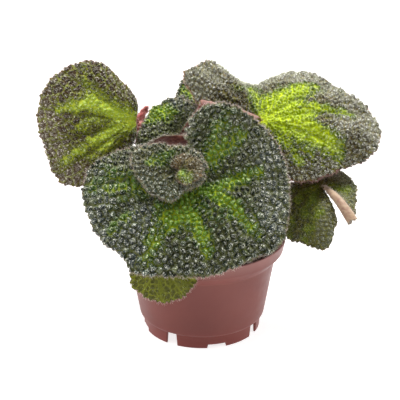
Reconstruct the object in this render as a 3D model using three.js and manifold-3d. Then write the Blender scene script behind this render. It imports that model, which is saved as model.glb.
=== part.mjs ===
// A begonia with large quilted leaves, growing in a 12 cm nursery pot.
// Millimetres, +Z up. The pot stands on its foot ring, and -Y is the side that the plant shows best.
// Every leaf is a fan of ribs: each rib leaves the joint of blade and stalk in its own direction,
// runs its own length, and bends evenly from one slope to another.
import * as THREE from "three";
import { mergeVertices } from "three/addons/utils/BufferGeometryUtils.js";
import Module from "manifold-3d";

const wasm = await Module();
wasm.setup();

// Driving dimensions of the pot
const POT_HEIGHT = 71;
const RIM_RADIUS = 61.2;
const RIM_BOTTOM = 62;
const RIM_BOTTOM_RADIUS = 59.4;
const SHOULDER_HEIGHT = 55.5;
const SHOULDER_RADIUS = 53.6;
const BASE_HEIGHT = 11.4;
const BASE_RADIUS = 46.2;
const BASE_EDGE = 0.7;
const FOOT_RADIUS = 43.6;
const FOOT_BOTTOM_RADIUS = 43;
const FOOT_HEIGHT = 9.8;
const WALL = 1.5;
const FLOOR_THICKNESS = 1.8;
const POT_SEGMENTS = 40;
const FOOT_NOTCH_WIDTH = 8.5;
const FOOT_NOTCH_FIRST = -30.5;
const FOOT_RELIEF_WIDTH = 14;
const FOOT_RELIEF_HEIGHT = 3;
const FOOT_RELIEF_FIRST = 14.5;
const FOOT_CUT_DEPTH = 12;
const DRAIN_RADIUS = 4;
const DRAIN_RING = 27;
const DRAIN_HOLES = 6;
const DRAIN_SIDES = 14;

// Driving dimensions of the plant
const GAP = 0.35;
const SOIL_DEPTH = 9;
const SOIL_RISE = 2.5;
const SOIL_CRUMB = 2.2;
const SOIL_SIDES = 32;
const SOIL_RINGS = 5;
const SOIL_SEED = 7;
const ROOT_DEPTH = 56;
const BLADE_THICKNESS = 0.9;
const QUILT_HEIGHT = 1.1;
const SCALLOP = 0.018;
const HEM_SPAN = 20;
const HEM_STEPS = 5;
const NO_HEMS = [[0, 180], [0, 180]];
const STALK_RADII = [2.4, 1.9, 1.7];
const STALK_APPROACH = 9.6;
const STALK_SIDES = 7;
const STALK_STEPS = 9;

const RADIANS = Math.PI / 180;

// A rolled young leaf on its stalk, with a pointed bud
const SPROUT_WAY = [
  [-18, 15, ROOT_DEPTH],
  [-28, 22, 96],
  [-41, 31, 130],
  [-45.5, 34, 146],
  [-40, 34, 157.5],
];
const SPROUT_RADII = [2, 1.7, 1.6, 1.5, 1.6, 3.4, 3.8, 0.6];
const SPROUT_SIDES = 8;
const SPROUT_STEPS = 21;

// The creeping stem that the stalks grow round, half sunk in the compost
const RHIZOME_WAY = [
  [-8, 4, 59],
  [-2, 2, 66],
  [4, -1, 67],
  [9, -5, 64],
];
const RHIZOME_RADII = [3.5, 4.6, 4.2, 3];
const RHIZOME_SIDES = 10;
const RHIZOME_STEPS = 10;

// Each leaf: where its stalk joins the blade, how the blade is turned (heading and pitch of its tip
// line, roll about it), its ribs, and the way its stalk takes from the soil.
// A rib is [direction from the tip line, length, slope at the joint, slope at the margin].
// Where the edge beside the first or the last rib rolls up, hems gives its width and how far it curls.
const LEAVES = {
  front: {
    joint: [-8.4, -26, 123],
    turn: [-86, -42, 0],
    ribs: [
      [-136, 30, -10, 0],
      [-119, 49, -10, 4],
      [-94, 73, -14, 20],
      [-73, 76, -15, 26],
      [-51, 76, -15, 24],
      [-42, 74, -15, 23],
      [-32, 79, -15, 22],
      [-17, 74, -15, 26],
      [3, 72, -16, 28],
      [33, 72, -14, 30],
      [52, 78, -13, 30],
      [72, 73, -12, 28],
      [104, 66, -14, 4],
      [133, 61, -17, -15],
      [160, 56, -19, -19],
      [173, 46, -17, -17],
      [180, 33, -10, -6],
    ],
    rings: 10,
    sectors: 44,
    root: [1, -9],
    way: [
      [-2, -8, 92],
      [-8, -14, 112],
    ],
    color: 0x3f5a2c,
  },
  right: {
    joint: [42.1, 11.3, 153.7],
    turn: [-5, -14, 32],
    ribs: [
      [-125, 23, -3, 33],
      [-95, 28, 2, 45],
      [-80, 33, 4, 48],
      [-57, 45, 3, 43],
      [-41, 53, 0, 33],
      [-11, 68, -1, 32],
      [9, 91, -5, 26],
      [26, 94, -6, 23],
      [43, 79, -7, 20],
      [60, 70, -7, 19],
      [76, 71, -8, 34],
      [90, 62, -9, 52],
      [104, 57, -11, 65],
      [119, 56, -15, 57],
      [130, 56, -17, 38],
      [142, 62, -20, 14],
      [151, 62, -18, 8],
      [158, 63, -17, 7],
      [165, 65, -16, 6],
      [174, 55, -12, 4],
      [182, 48, -6, 3],
      [189, 45, -3, 3],
    ],
    hems: [[0, 180], [20, 200]],
    rings: 11,
    sectors: 44,
    root: [13, 9],
    way: [
      [20, 19, 100],
      [31, 26, 140],
    ],
    color: 0x4a6a26,
  },
  left: {
    joint: [-46.8, 9, 153.8],
    turn: [188, -12, -70],
    ribs: [
      [-112, 10, 0, 0],
      [-84, 31, -10, 12],
      [-74, 48, -10, 20],
      [-63, 58, -10, 26],
      [-38, 70, -10, 26],
      [-17, 72, -10, 26],
      [4, 69, -10, 24],
      [24, 70, -10, 20],
      [34, 62, -10, 18],
      [46, 43, -5, 15],
      [62, 22, 0, 5],
      [80, 8, 0, 0],
    ],
    rings: 9,
    sectors: 40,
    root: [-14, 9],
    way: [
      [-31, 15, 105],
      [-49, 26, 142],
    ],
    color: 0x5b7a26,
  },
  back_left: {
    joint: [-15.9, 16.6, 141.9],
    turn: [178, 10, -45],
    ribs: [
      [-118, 24, -8, -6],
      [-104, 25, -8, -2],
      [-90, 27, -6, 5],
      [-66, 30, -8, 16],
      [-48, 29, -8, 19],
      [-30, 29, -8, 20],
      [-13, 28, -8, 20],
      [5, 30, -8, 18],
      [18, 32, -6, 12],
      [28, 34, -4, 12],
      [36, 34, 0, 5],
      [42, 33, 12, -60],
      [48, 33, 20, -108],
      [57, 32, 24, -126],
      [75, 31, 28, -145],
      [110, 31, 28, -148],
      [150, 30, 28, -140],
    ],
    hems: [[12, 190], [0, 180]],
    rings: 6,
    sectors: 30,
    root: [-5, 13],
    way: [
      [-8, 22, 100],
      [-13, 24, 124],
    ],
    color: 0x4c6b2b,
  },
  top: {
    joint: [14.7, 42, 152],
    turn: [178, 8, -35],
    ribs: [
      [-150, 20, -5, 10],
      [-110, 26, -8, 14],
      [-73, 27, -10, 10],
      [-50, 39, -10, 10],
      [-28, 38, -10, 12],
      [-7, 35, -10, 14],
      [34, 27, -10, 20],
      [80, 20, -8, 20],
      [130, 16, -5, 14],
    ],
    rings: 6,
    sectors: 26,
    root: [3, 13],
    way: [
      [6, 26, 95],
      [9, 36, 122],
      [12.5, 46, 140],
    ],
    color: 0x4c6b2b,
  },
  young: {
    joint: [-17.5, -40, 134],
    turn: [200, -12, -42],
    ribs: [
      [-190, 22, -6, 24],
      [-165, 22, -6, 20],
      [-137, 20.5, -8, 14],
      [-115, 20, -9, 13],
      [-97, 21, -10, 12],
      [-68, 28, -12, 16],
      [-52, 34, -14, 28],
      [-35, 32, -14, 34],
      [-12, 26, -14, 38],
      [21, 23, -14, 40],
      [67, 20, -14, 40],
      [80, 15.5, -13, 38],
      [95, 14, -12, 36],
      [110, 15.5, -12, 35],
      [130, 18, -10, 32],
      [158, 21, -8, 25],
    ],
    rings: 6,
    sectors: 32,
    root: [-9, -6],
    way: [
      [-11, 0, 100],
      [-14, -9, 125],
      [-14, -18, 132.5],
      [-16, -29, 131],
    ],
    approach: 5,
    color: 0x52652f,
  },
  low_right: {
    joint: [86, 8, 104.4],
    turn: [60, 12, 0],
    ribs: [
      [-122, 40, -5, 40],
      [-112, 36, -5, 40],
      [-93, 29, -5, 40],
      [-60, 26, -5, 24],
      [-33, 26, -5, 20],
      [0, 29, -5, 20],
      [40, 26, -5, 24],
      [80, 29, -5, 36],
      [117, 38, -5, 60],
      [163, 49, -5, 75],
      [190, 50, -5, 75],
      [203, 53, -5, 75],
      [211, 52, -5, 72],
      [217, 42, -5, 68],
      [223, 36, -5, 62],
      [229, 30, -5, 60],
    ],
    hems: [[15, 200], [0, 180]],
    rings: 7,
    sectors: 36,
    root: [15, 2],
    way: [
      [40, 8, 70],
      [60, 12, 77],
      [76, 11, 86],
    ],
    color: 0x465a24,
  },
  low_front: {
    joint: [-28, -62.5, 77.5],
    turn: [-90, -82, 0],
    ribs: [
      [-100, 13, 0, 0],
      [-75, 21, 0, 5],
      [-50, 26, 0, 8],
      [-26, 27, 0, 8],
      [0, 29, 0, 8],
      [26, 29, 0, 8],
      [52, 28, 0, 8],
      [74, 25, 0, 5],
      [100, 14, 0, 0],
    ],
    rings: 5,
    sectors: 22,
    root: [-5, -12],
    way: [
      [-14, -26, 73],
      [-25, -50, 78],
    ],
    color: 0x6b7a30,
  },
  rear_right: {
    joint: [34, 48, 110],
    turn: [60, -34, 0],
    ribs: [
      [-160, 24, -5, 10],
      [-120, 36, -8, 20],
      [-70, 35, -12, 28],
      [-25, 42, -12, 32],
      [15, 47, -12, 32],
      [60, 42, -12, 28],
      [105, 31, -8, 20],
      [145, 21, -5, 10],
    ],
    rings: 7,
    sectors: 30,
    root: [9, 16],
    way: [
      [19, 28, 86],
      [31, 41, 101],
    ],
    color: 0x4a6428,
  },
  rear_left: {
    joint: [-36, 44, 106],
    turn: [124, -36, 0],
    ribs: [
      [-155, 24, -5, 10],
      [-115, 36, -8, 20],
      [-70, 42, -12, 28],
      [-25, 46, -12, 32],
      [20, 48, -12, 32],
      [65, 42, -12, 28],
      [110, 32, -8, 20],
      [138, 20, -5, 10],
    ],
    rings: 7,
    sectors: 30,
    root: [-12, 17],
    way: [
      [-20, 26, 82],
      [-33, 37, 98],
    ],
    color: 0x4a6428,
  },
  rear_middle: {
    joint: [-1, 55, 129],
    turn: [88, -26, 0],
    ribs: [
      [-150, 13, -5, 10],
      [-100, 22, -10, 20],
      [-50, 26, -12, 28],
      [0, 30, -12, 30],
      [50, 27, -12, 28],
      [100, 22, -10, 20],
      [150, 13, -5, 10],
    ],
    rings: 5,
    sectors: 24,
    root: [0, 19],
    way: [
      [0, 31, 88],
      [1, 44, 113],
    ],
    color: 0x557030,
  },
};

// Colours, roughness and metalness as the photograph shows them
const FINISHES = {
  pot: { color: 0x8e5048, roughness: 0.5 },
  soil: { color: 0x2e221a, roughness: 0.95 },
  stem: { color: 0x8a4a3c, roughness: 0.75 },
  sprout: { color: 0xa8484a, roughness: 0.8 },
};

// Turned profile of the pot, from the middle of the underside round the wall to the inner floor
function potProfile() {
  const floorTop = BASE_HEIGHT + FLOOR_THICKNESS;
  return [
    [0, BASE_HEIGHT],
    [FOOT_BOTTOM_RADIUS - WALL, BASE_HEIGHT],
    [FOOT_BOTTOM_RADIUS - WALL, 0],
    [FOOT_BOTTOM_RADIUS, 0],
    [FOOT_RADIUS, FOOT_HEIGHT],
    [BASE_RADIUS - BASE_EDGE, BASE_HEIGHT - BASE_EDGE],
    [BASE_RADIUS, BASE_HEIGHT + BASE_EDGE],
    [SHOULDER_RADIUS, SHOULDER_HEIGHT],
    [RIM_BOTTOM_RADIUS, RIM_BOTTOM],
    [RIM_RADIUS, POT_HEIGHT],
    [RIM_RADIUS - WALL, POT_HEIGHT],
    [RIM_BOTTOM_RADIUS - WALL, RIM_BOTTOM],
    [SHOULDER_RADIUS - WALL, SHOULDER_HEIGHT],
    [BASE_RADIUS - WALL, floorTop],
    [0, floorTop],
  ];
}

// A closed mesh as a solid that can be cut and joined
function solidOf(geometry) {
  const bare = geometry.index ? geometry.toNonIndexed() : geometry.clone();
  const points = new THREE.BufferGeometry();
  points.setAttribute("position", bare.getAttribute("position"));
  const merged = mergeVertices(points, 1e-3);
  return new wasm.Manifold(
    new wasm.Mesh({
      numProp: 3,
      vertProperties: merged.attributes.position.array,
      triVerts: new Uint32Array(merged.index.array),
    }),
  );
}

function geometryOf(solid) {
  const mesh = solid.getMesh();
  const geometry = new THREE.BufferGeometry();
  geometry.setAttribute("position", new THREE.BufferAttribute(mesh.vertProperties, 3));
  geometry.setIndex(new THREE.BufferAttribute(mesh.triVerts, 1));
  return geometry;
}

// A block that crosses the foot ring, turned round the pot's axis from the front
function footCutter(width, height, angle) {
  const below = 1;
  const block = new THREE.BoxGeometry(width, FOOT_CUT_DEPTH, height + below);
  block.translate(0, -FOOT_RADIUS, (height - below) / 2);
  block.rotateZ(angle * RADIANS);
  return solidOf(block);
}

function potGeometry() {
  const profile = potProfile().map(([r, z]) => new THREE.Vector2(r, z));
  const turned = new THREE.LatheGeometry(profile, POT_SEGMENTS);
  turned.rotateX(Math.PI / 2);
  let pot = solidOf(turned);
  for (let quarter = 0; quarter < 4; quarter++) {
    const angle = 90 * quarter;
    pot = pot.subtract(footCutter(FOOT_NOTCH_WIDTH, FOOT_HEIGHT, FOOT_NOTCH_FIRST + angle));
    pot = pot.subtract(footCutter(FOOT_RELIEF_WIDTH, FOOT_RELIEF_HEIGHT, FOOT_RELIEF_FIRST + angle));
  }
  for (let hole = 0; hole < DRAIN_HOLES; hole++) {
    const drill = new THREE.CylinderGeometry(DRAIN_RADIUS, DRAIN_RADIUS, 4 * FLOOR_THICKNESS, DRAIN_SIDES);
    drill.rotateX(Math.PI / 2);
    drill.translate(DRAIN_RING, 0, BASE_HEIGHT + FLOOR_THICKNESS / 2);
    drill.rotateZ((hole / DRAIN_HOLES) * 2 * Math.PI);
    pot = pot.subtract(solidOf(drill));
  }
  return geometryOf(pot);
}

// Radius of the pot's inner wall at a height
function innerRadius(z) {
  const wall = potProfile().slice(-5, -1).reverse();
  for (let i = 1; i < wall.length; i++) {
    const [r0, z0] = wall[i - 1];
    const [r1, z1] = wall[i];
    if (z <= z1) return r0 + ((r1 - r0) * (z - z0)) / (z1 - z0);
  }
  return wall.at(-1)[0];
}

// A seeded stream of numbers from 0 to 1
function seeded(seed) {
  let state = seed;
  return () => {
    state = (state * 16807) % 2147483647;
    return state / 2147483647;
  };
}

// Closed surface through rings of points, with a middle point at each end
function ringedSolid(rings, first, last) {
  const sides = rings[0].length;
  const points = [...rings.flat(), first, last];
  const firstIndex = points.length - 2;
  const lastIndex = points.length - 1;
  const faces = [];
  for (let k = 0; k < sides; k++) {
    const next = (k + 1) % sides;
    faces.push(firstIndex, next, k);
    for (let i = 0; i + 1 < rings.length; i++) {
      const a = i * sides;
      const b = a + sides;
      faces.push(a + k, a + next, b + next);
      faces.push(a + k, b + next, b + k);
    }
    const top = (rings.length - 1) * sides;
    faces.push(lastIndex, top + k, top + next);
  }
  const geometry = new THREE.BufferGeometry();
  geometry.setAttribute("position", new THREE.Float32BufferAttribute(points.flat(), 3));
  geometry.setIndex(faces);
  return geometry;
}

// Compost: a plug that fills the pot, a little higher in the middle, with a crumbly top
function soilGeometry() {
  const random = seeded(SOIL_SEED);
  const surface = POT_HEIGHT - SOIL_DEPTH;
  const floor = BASE_HEIGHT + FLOOR_THICKNESS + GAP;
  const ring = (radius, height, crumb) =>
    Array.from({ length: SOIL_SIDES }, (_, k) => {
      const angle = (k / SOIL_SIDES) * 2 * Math.PI;
      const lift = crumb * (random() - 0.5);
      return [radius * Math.cos(angle), radius * Math.sin(angle), height + lift];
    });
  const levels = [floor, SHOULDER_HEIGHT, surface - 1];
  const rings = levels.map((z) => ring(innerRadius(z) - GAP, z, 0));
  for (let i = SOIL_RINGS; i > 0; i--) {
    const share = i / (SOIL_RINGS + 0.6);
    const rise = SOIL_RISE * (1 - share * share);
    rings.push(ring(innerRadius(surface) * share, surface + rise, SOIL_CRUMB));
  }
  return ringedSolid(rings, [0, 0, floor], [0, 0, surface + SOIL_RISE]);
}

// A round limb along a smooth curve through points, from one radius to another
function limbGeometry(points, radii, sides, steps) {
  const curve = new THREE.CatmullRomCurve3(points.map((p) => new THREE.Vector3(...p)));
  const centres = curve.getSpacedPoints(steps);
  const frames = curve.computeFrenetFrames(steps, false);
  const rings = centres.map((centre, i) => {
    const place = (i / steps) * (radii.length - 1);
    const low = Math.min(Math.floor(place), radii.length - 2);
    const radius = THREE.MathUtils.lerp(radii[low], radii[low + 1], place - low);
    return Array.from({ length: sides }, (_, k) => {
      const angle = (k / sides) * 2 * Math.PI;
      const out = frames.normals[i].clone().multiplyScalar(Math.cos(angle));
      out.addScaledVector(frames.binormals[i], Math.sin(angle));
      return centre.clone().addScaledVector(out, radius).toArray();
    });
  });
  return ringedSolid(rings, centres[0].toArray(), centres.at(-1).toArray());
}

// Directions of a blade: along its tip line, across it, and out of its upper face
function bladeAxes([heading, pitch, roll]) {
  const [h, p, r] = [heading * RADIANS, pitch * RADIANS, roll * RADIANS];
  const tip = new THREE.Vector3(Math.cos(p) * Math.cos(h), Math.cos(p) * Math.sin(h), Math.sin(p));
  const level = new THREE.Vector3(-Math.sin(h), Math.cos(h), 0);
  const rise = new THREE.Vector3().crossVectors(tip, level);
  const across = level.multiplyScalar(Math.cos(r)).addScaledVector(rise, Math.sin(r));
  const out = new THREE.Vector3().crossVectors(tip, across);
  return { tip, across, out };
}

// Length and slopes of a blade in any direction, on a smooth curve through its ribs
function ribToward(ribs, angle) {
  let i = 0;
  while (i < ribs.length - 2 && angle > ribs[i + 1][0]) i++;
  const before = ribs[Math.max(i - 1, 0)];
  const [a, b] = [ribs[i], ribs[i + 1]];
  const after = ribs[Math.min(i + 2, ribs.length - 1)];
  const span = b[0] - a[0];
  const t = (angle - a[0]) / span;
  return [1, 2, 3].map((column) => {
    const leave = ((b[column] - before[column]) / (b[0] - before[0])) * span;
    const arrive = ((after[column] - a[column]) / (after[0] - a[0])) * span;
    const [t2, t3] = [t * t, t * t * t];
    return (
      (2 * t3 - 3 * t2 + 1) * a[column] +
      (t3 - 2 * t2 + t) * leave +
      (3 * t2 - 2 * t3) * b[column] +
      (t3 - t2) * arrive
    );
  });
}

// Point of a blade's middle surface: a rib bends evenly from its first slope to its last. A direction
// beyond the outer ribs stands for a place on the rolled edge, which widens from the joint outwards.
function bladePoint(leaf, axes, angle, share, stretch) {
  const held = THREE.MathUtils.clamp(angle, leaf.ribs[0][0], leaf.ribs.at(-1)[0]);
  const [length, startSlope, endSlope] = ribToward(leaf.ribs, held);
  const start = startSlope * RADIANS;
  const bend = (endSlope - startSlope) * RADIANS || 1e-6;
  const now = start + bend * share;
  const along = ((Math.sin(now) - Math.sin(start)) / bend) * length * stretch;
  const drop = ((Math.cos(start) - Math.cos(now)) / bend) * length * stretch;
  const [cosine, sine] = [Math.cos(held * RADIANS), Math.sin(held * RADIANS)];
  const onward = axes.tip.clone().multiplyScalar(cosine).addScaledVector(axes.across, sine);
  const point = new THREE.Vector3(...leaf.joint);
  point.addScaledVector(onward, along).addScaledVector(axes.out, -drop);
  if (angle === held) return point;
  const side = Math.sign(angle - held);
  const [width, curl] = leaf.hems[side < 0 ? 0 : 1];
  const radius = (width * Math.sqrt(share)) / (curl * RADIANS);
  const turned = (Math.abs(angle - held) / HEM_SPAN) * curl * RADIANS;
  const aside = axes.across.clone().multiplyScalar(side * cosine).addScaledVector(axes.tip, -side * sine);
  const normal = onward.multiplyScalar(Math.sin(now)).addScaledVector(axes.out, Math.cos(now));
  point.addScaledVector(aside, radius * Math.sin(turned));
  return point.addScaledVector(normal, radius * (1 - Math.cos(turned)));
}

// Directions of a blade's columns, with those that stand for a rolled edge at either end
function columnAngles({ ribs, sectors, hems = NO_HEMS }) {
  const [first, last] = [ribs[0][0], ribs.at(-1)[0]];
  const before = hems[0][0] ? HEM_STEPS : 0;
  const after = hems[1][0] ? HEM_STEPS : 0;
  const fan = Array.from({ length: sectors + 1 }, (_, j) => THREE.MathUtils.lerp(first, last, j / sectors));
  const rolled = (count) => Array.from({ length: count }, (_, k) => ((k + 1) / count) * HEM_SPAN);
  const angles = [...rolled(before).map((over) => first - over).reverse(), ...fan];
  angles.push(...rolled(after).map((over) => last + over));
  return { angles, before, after };
}

// A blade: a grid of ribs and rings, quilted, with a scalloped margin and an open sinus at the joint
function bladeGeometry(leaf) {
  const { rings } = leaf;
  const axes = bladeAxes(leaf.turn);
  const { angles, before, after } = columnAngles(leaf);
  const columns = angles.length;
  const [fanStart, fanEnd] = [before, columns - 1 - after];
  const middle = [new THREE.Vector3(...leaf.joint)];
  const raised = [0];
  for (let i = 1; i <= rings; i++) {
    angles.forEach((angle, j) => {
      const up = j < fanStart || j > fanEnd ? 0 : (i + j) % 2;
      const stretch = i === rings ? 1 + SCALLOP * (2 * ((i + j) % 2) - 1) : 1;
      middle.push(bladePoint(leaf, axes, angle, i / rings, stretch));
      raised.push(up * QUILT_HEIGHT);
    });
  }
  const at = (i, j) => 1 + (i - 1) * columns + j;
  const sheet = [];
  for (let j = 0; j + 1 < columns; j++) {
    if (j >= fanStart && j < fanEnd) sheet.push([0, at(1, j), at(1, j + 1)]);
    for (let i = 1; i < rings; i++) {
      const [a, b, c, d] = [at(i, j), at(i, j + 1), at(i + 1, j + 1), at(i + 1, j)];
      if ((i + j) % 2) sheet.push([a, d, b], [b, d, c]);
      else sheet.push([a, d, c], [a, c, b]);
    }
  }
  const flat = new THREE.BufferGeometry();
  const middlePoints = middle.flatMap((p) => p.toArray());
  flat.setAttribute("position", new THREE.Float32BufferAttribute(middlePoints, 3));
  flat.setIndex(sheet.flat());
  flat.computeVertexNormals();
  const normals = flat.getAttribute("normal");
  const face = (side) =>
    middle.map((point, k) => {
      const normal = new THREE.Vector3().fromBufferAttribute(normals, k);
      return point.clone().addScaledVector(normal, raised[k] + (side * BLADE_THICKNESS) / 2);
    });
  const count = middle.length;
  const faces = [...sheet.flat(), ...sheet.flatMap(([a, b, c]) => [a + count, c + count, b + count])];
  const edge = [0];
  for (let j = fanStart; j > 0; j--) edge.push(at(1, j));
  for (let i = 1; i < rings; i++) edge.push(at(i, 0));
  for (let j = 0; j < columns; j++) edge.push(at(rings, j));
  for (let i = rings - 1; i > 0; i--) edge.push(at(i, columns - 1));
  for (let j = columns - 2; j >= fanEnd; j--) edge.push(at(1, j));
  edge.forEach((a, k) => {
    const b = edge[(k + 1) % edge.length];
    faces.push(a, a + count, b, b, a + count, b + count);
  });
  const geometry = new THREE.BufferGeometry();
  const corners = [...face(1), ...face(-1)].flatMap((p) => p.toArray());
  geometry.setAttribute("position", new THREE.Float32BufferAttribute(corners, 3));
  geometry.setIndex(faces);
  return geometry;
}

// Way of a stalk: up out of the soil, along its leaf's own points, and square onto the blade from below
function stalkPoints(leaf) {
  const { out } = bladeAxes(leaf.turn);
  const joint = new THREE.Vector3(...leaf.joint);
  const end = joint.clone().addScaledVector(out, -BLADE_THICKNESS / 2 - GAP);
  const beneath = joint.clone().addScaledVector(out, -(leaf.approach ?? STALK_APPROACH));
  return [[...leaf.root, ROOT_DEPTH], ...leaf.way, beneath.toArray(), end.toArray()];
}

const plant = new THREE.Group();

function addPiece(name, geometry, finish) {
  const material = new THREE.MeshStandardMaterial({ metalness: 0, flatShading: true, ...finish });
  const piece = new THREE.Mesh(geometry, material);
  piece.name = name;
  plant.add(piece);
}

addPiece("pot", potGeometry(), FINISHES.pot);

addPiece("rhizome", limbGeometry(RHIZOME_WAY, RHIZOME_RADII, RHIZOME_SIDES, RHIZOME_STEPS), FINISHES.stem);
addPiece("sprout", limbGeometry(SPROUT_WAY, SPROUT_RADII, SPROUT_SIDES, SPROUT_STEPS), FINISHES.sprout);

// Every stem stands in a plain hole in the compost
const widen = (radii) => radii.map((radius) => radius + GAP);
let soil = solidOf(soilGeometry());
soil = soil.subtract(solidOf(limbGeometry(RHIZOME_WAY, widen(RHIZOME_RADII), RHIZOME_SIDES, RHIZOME_STEPS)));
soil = soil.subtract(solidOf(limbGeometry(SPROUT_WAY, widen(SPROUT_RADII), SPROUT_SIDES, SPROUT_STEPS)));
for (const [name, leaf] of Object.entries(LEAVES)) {
  const points = stalkPoints(leaf);
  addPiece("leaf_" + name, bladeGeometry(leaf), { color: leaf.color, roughness: 0.6 });
  const hole = limbGeometry(points, widen(STALK_RADII), STALK_SIDES, STALK_STEPS);
  addPiece("stalk_" + name, limbGeometry(points, STALK_RADII, STALK_SIDES, STALK_STEPS), FINISHES.stem);
  soil = soil.subtract(solidOf(hole));
}
addPiece("soil", geometryOf(soil), FINISHES.soil);

// The origin is the middle of the whole object's footprint, on the surface that it stands on
const extent = new THREE.Box3().setFromObject(plant);
const middle = extent.getCenter(new THREE.Vector3());
plant.position.set(-middle.x, -middle.y, -extent.min.z);
const begonia = new THREE.Group();
begonia.add(plant);

export default begonia;
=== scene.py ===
import bpy
import numpy as np
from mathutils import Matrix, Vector


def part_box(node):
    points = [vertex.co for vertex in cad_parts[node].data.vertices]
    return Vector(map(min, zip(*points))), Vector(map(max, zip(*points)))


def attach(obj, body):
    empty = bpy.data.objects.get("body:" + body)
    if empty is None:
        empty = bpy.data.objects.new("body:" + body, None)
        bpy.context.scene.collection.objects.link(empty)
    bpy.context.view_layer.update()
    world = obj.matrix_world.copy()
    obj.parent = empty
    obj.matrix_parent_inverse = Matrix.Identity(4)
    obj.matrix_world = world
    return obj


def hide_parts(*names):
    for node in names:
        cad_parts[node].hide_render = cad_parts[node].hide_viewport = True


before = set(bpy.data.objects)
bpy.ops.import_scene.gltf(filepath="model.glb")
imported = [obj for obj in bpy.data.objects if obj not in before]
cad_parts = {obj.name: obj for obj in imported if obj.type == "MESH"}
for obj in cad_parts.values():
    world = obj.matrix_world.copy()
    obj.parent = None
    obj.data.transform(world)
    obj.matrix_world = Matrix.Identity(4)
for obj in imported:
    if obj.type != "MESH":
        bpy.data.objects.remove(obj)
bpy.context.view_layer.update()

potLow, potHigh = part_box("pot")
potAxis = np.array([(potLow.x + potHigh.x) / 2, (potLow.y + potHigh.y) / 2, 0])


def toFrame(points):
    # millimetres about the pot's axis to metres in the part's frame
    return np.asarray(points, float) / 1000 + potAxis


# Camera, at the photograph's angle
camera = {"target": (-1.5, 0, 97.5), "distance": 800, "elevation": 22, "lens": 100, "sensor": 36}

tilt = np.radians(camera["elevation"])
ahead = np.array([0, np.cos(tilt), -np.sin(tilt)])
cameraData = bpy.data.cameras.new("camera")
cameraData.lens = camera["lens"]
cameraData.sensor_width = camera["sensor"]
cameraData.clip_start = 0.01
cameraData.clip_end = 20
cameraObject = bpy.data.objects.new("camera", cameraData)
cameraObject.location = toFrame(np.array(camera["target"]) - camera["distance"] * ahead)
cameraObject.rotation_euler = (np.pi / 2 - tilt, 0, 0)
bpy.context.scene.collection.objects.link(cameraObject)
bpy.context.scene.camera = cameraObject
print("camera ready")


# Colours and shader nodes
def linear(code):
    # screen colour "#rrggbb" to the shader's linear colour
    parts = np.array([int(code[i:i + 2], 16) for i in (1, 3, 5)]) / 255
    parts = np.where(parts <= 0.04045, parts / 12.92, ((parts + 0.055) / 1.055) ** 2.4)
    return (*parts, 1)


def newMaterial(name, roughness=0.5, **constants):
    # constants are the shader's own sockets, with _ for each space of their names
    material = bpy.data.materials.new(name)
    material.use_nodes = True
    shader = material.node_tree.nodes["Principled BSDF"]
    shader.inputs["Roughness"].default_value = roughness
    for socket, value in constants.items():
        shader.inputs[socket.replace("_", " ")].default_value = value
    return material, material.node_tree, shader


def feed(tree, socket, value):
    # a socket takes another node's output, a colour or a number
    if isinstance(value, bpy.types.NodeSocket):
        tree.links.new(value, socket)
    else:
        socket.default_value = value


def objectPlace(tree):
    # where a spot of the piece is, in metres
    return tree.nodes.new("ShaderNodeTexCoord").outputs["Object"]


def mark(tree, name):
    # a number that the mesh carries at each vertex
    node = tree.nodes.new("ShaderNodeAttribute")
    node.attribute_name = name
    return node.outputs["Fac"]


def noise(tree, scale, detail=2.0):
    # cloudy numbers from 0 to 1 over the piece, finer with a higher scale
    node = tree.nodes.new("ShaderNodeTexNoise")
    feed(tree, node.inputs["Vector"], objectPlace(tree))
    node.inputs["Scale"].default_value = scale
    node.inputs["Detail"].default_value = detail
    node.inputs["Roughness"].default_value = 0.5
    return node.outputs["Fac"]


def ramp(tree, value, low, high, start=0.0, end=1.0):
    # a smooth step from start, where the value is low, to end, where it is high
    node = tree.nodes.new("ShaderNodeMapRange")
    node.interpolation_type = "SMOOTHSTEP"
    feed(tree, node.inputs["Value"], value)
    node.inputs["From Min"].default_value = low
    node.inputs["From Max"].default_value = high
    node.inputs["To Min"].default_value = start
    node.inputs["To Max"].default_value = end
    return node.outputs["Result"]


def blend(tree, factor, first, second):
    # (1 - factor) x the first colour + factor x the second
    node = tree.nodes.new("ShaderNodeMix")
    node.data_type = "RGBA"
    feed(tree, node.inputs[0], factor)
    feed(tree, node.inputs[6], first)
    feed(tree, node.inputs[7], second)
    return node.outputs[2]


def combine(tree, operation, first, second):
    # the operation's result, held between 0 and 1
    node = tree.nodes.new("ShaderNodeMath")
    node.operation = operation
    node.use_clamp = True
    feed(tree, node.inputs[0], first)
    feed(tree, node.inputs[1], second)
    return node.outputs[0]


def roughen(tree, shader, height, distance):
    # bumps as high as the distance, in metres
    node = tree.nodes.new("ShaderNodeBump")
    node.inputs["Strength"].default_value = 1.0
    node.inputs["Distance"].default_value = distance
    feed(tree, node.inputs["Height"], height)
    tree.links.new(node.outputs["Normal"], shader.inputs["Normal"])


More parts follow.
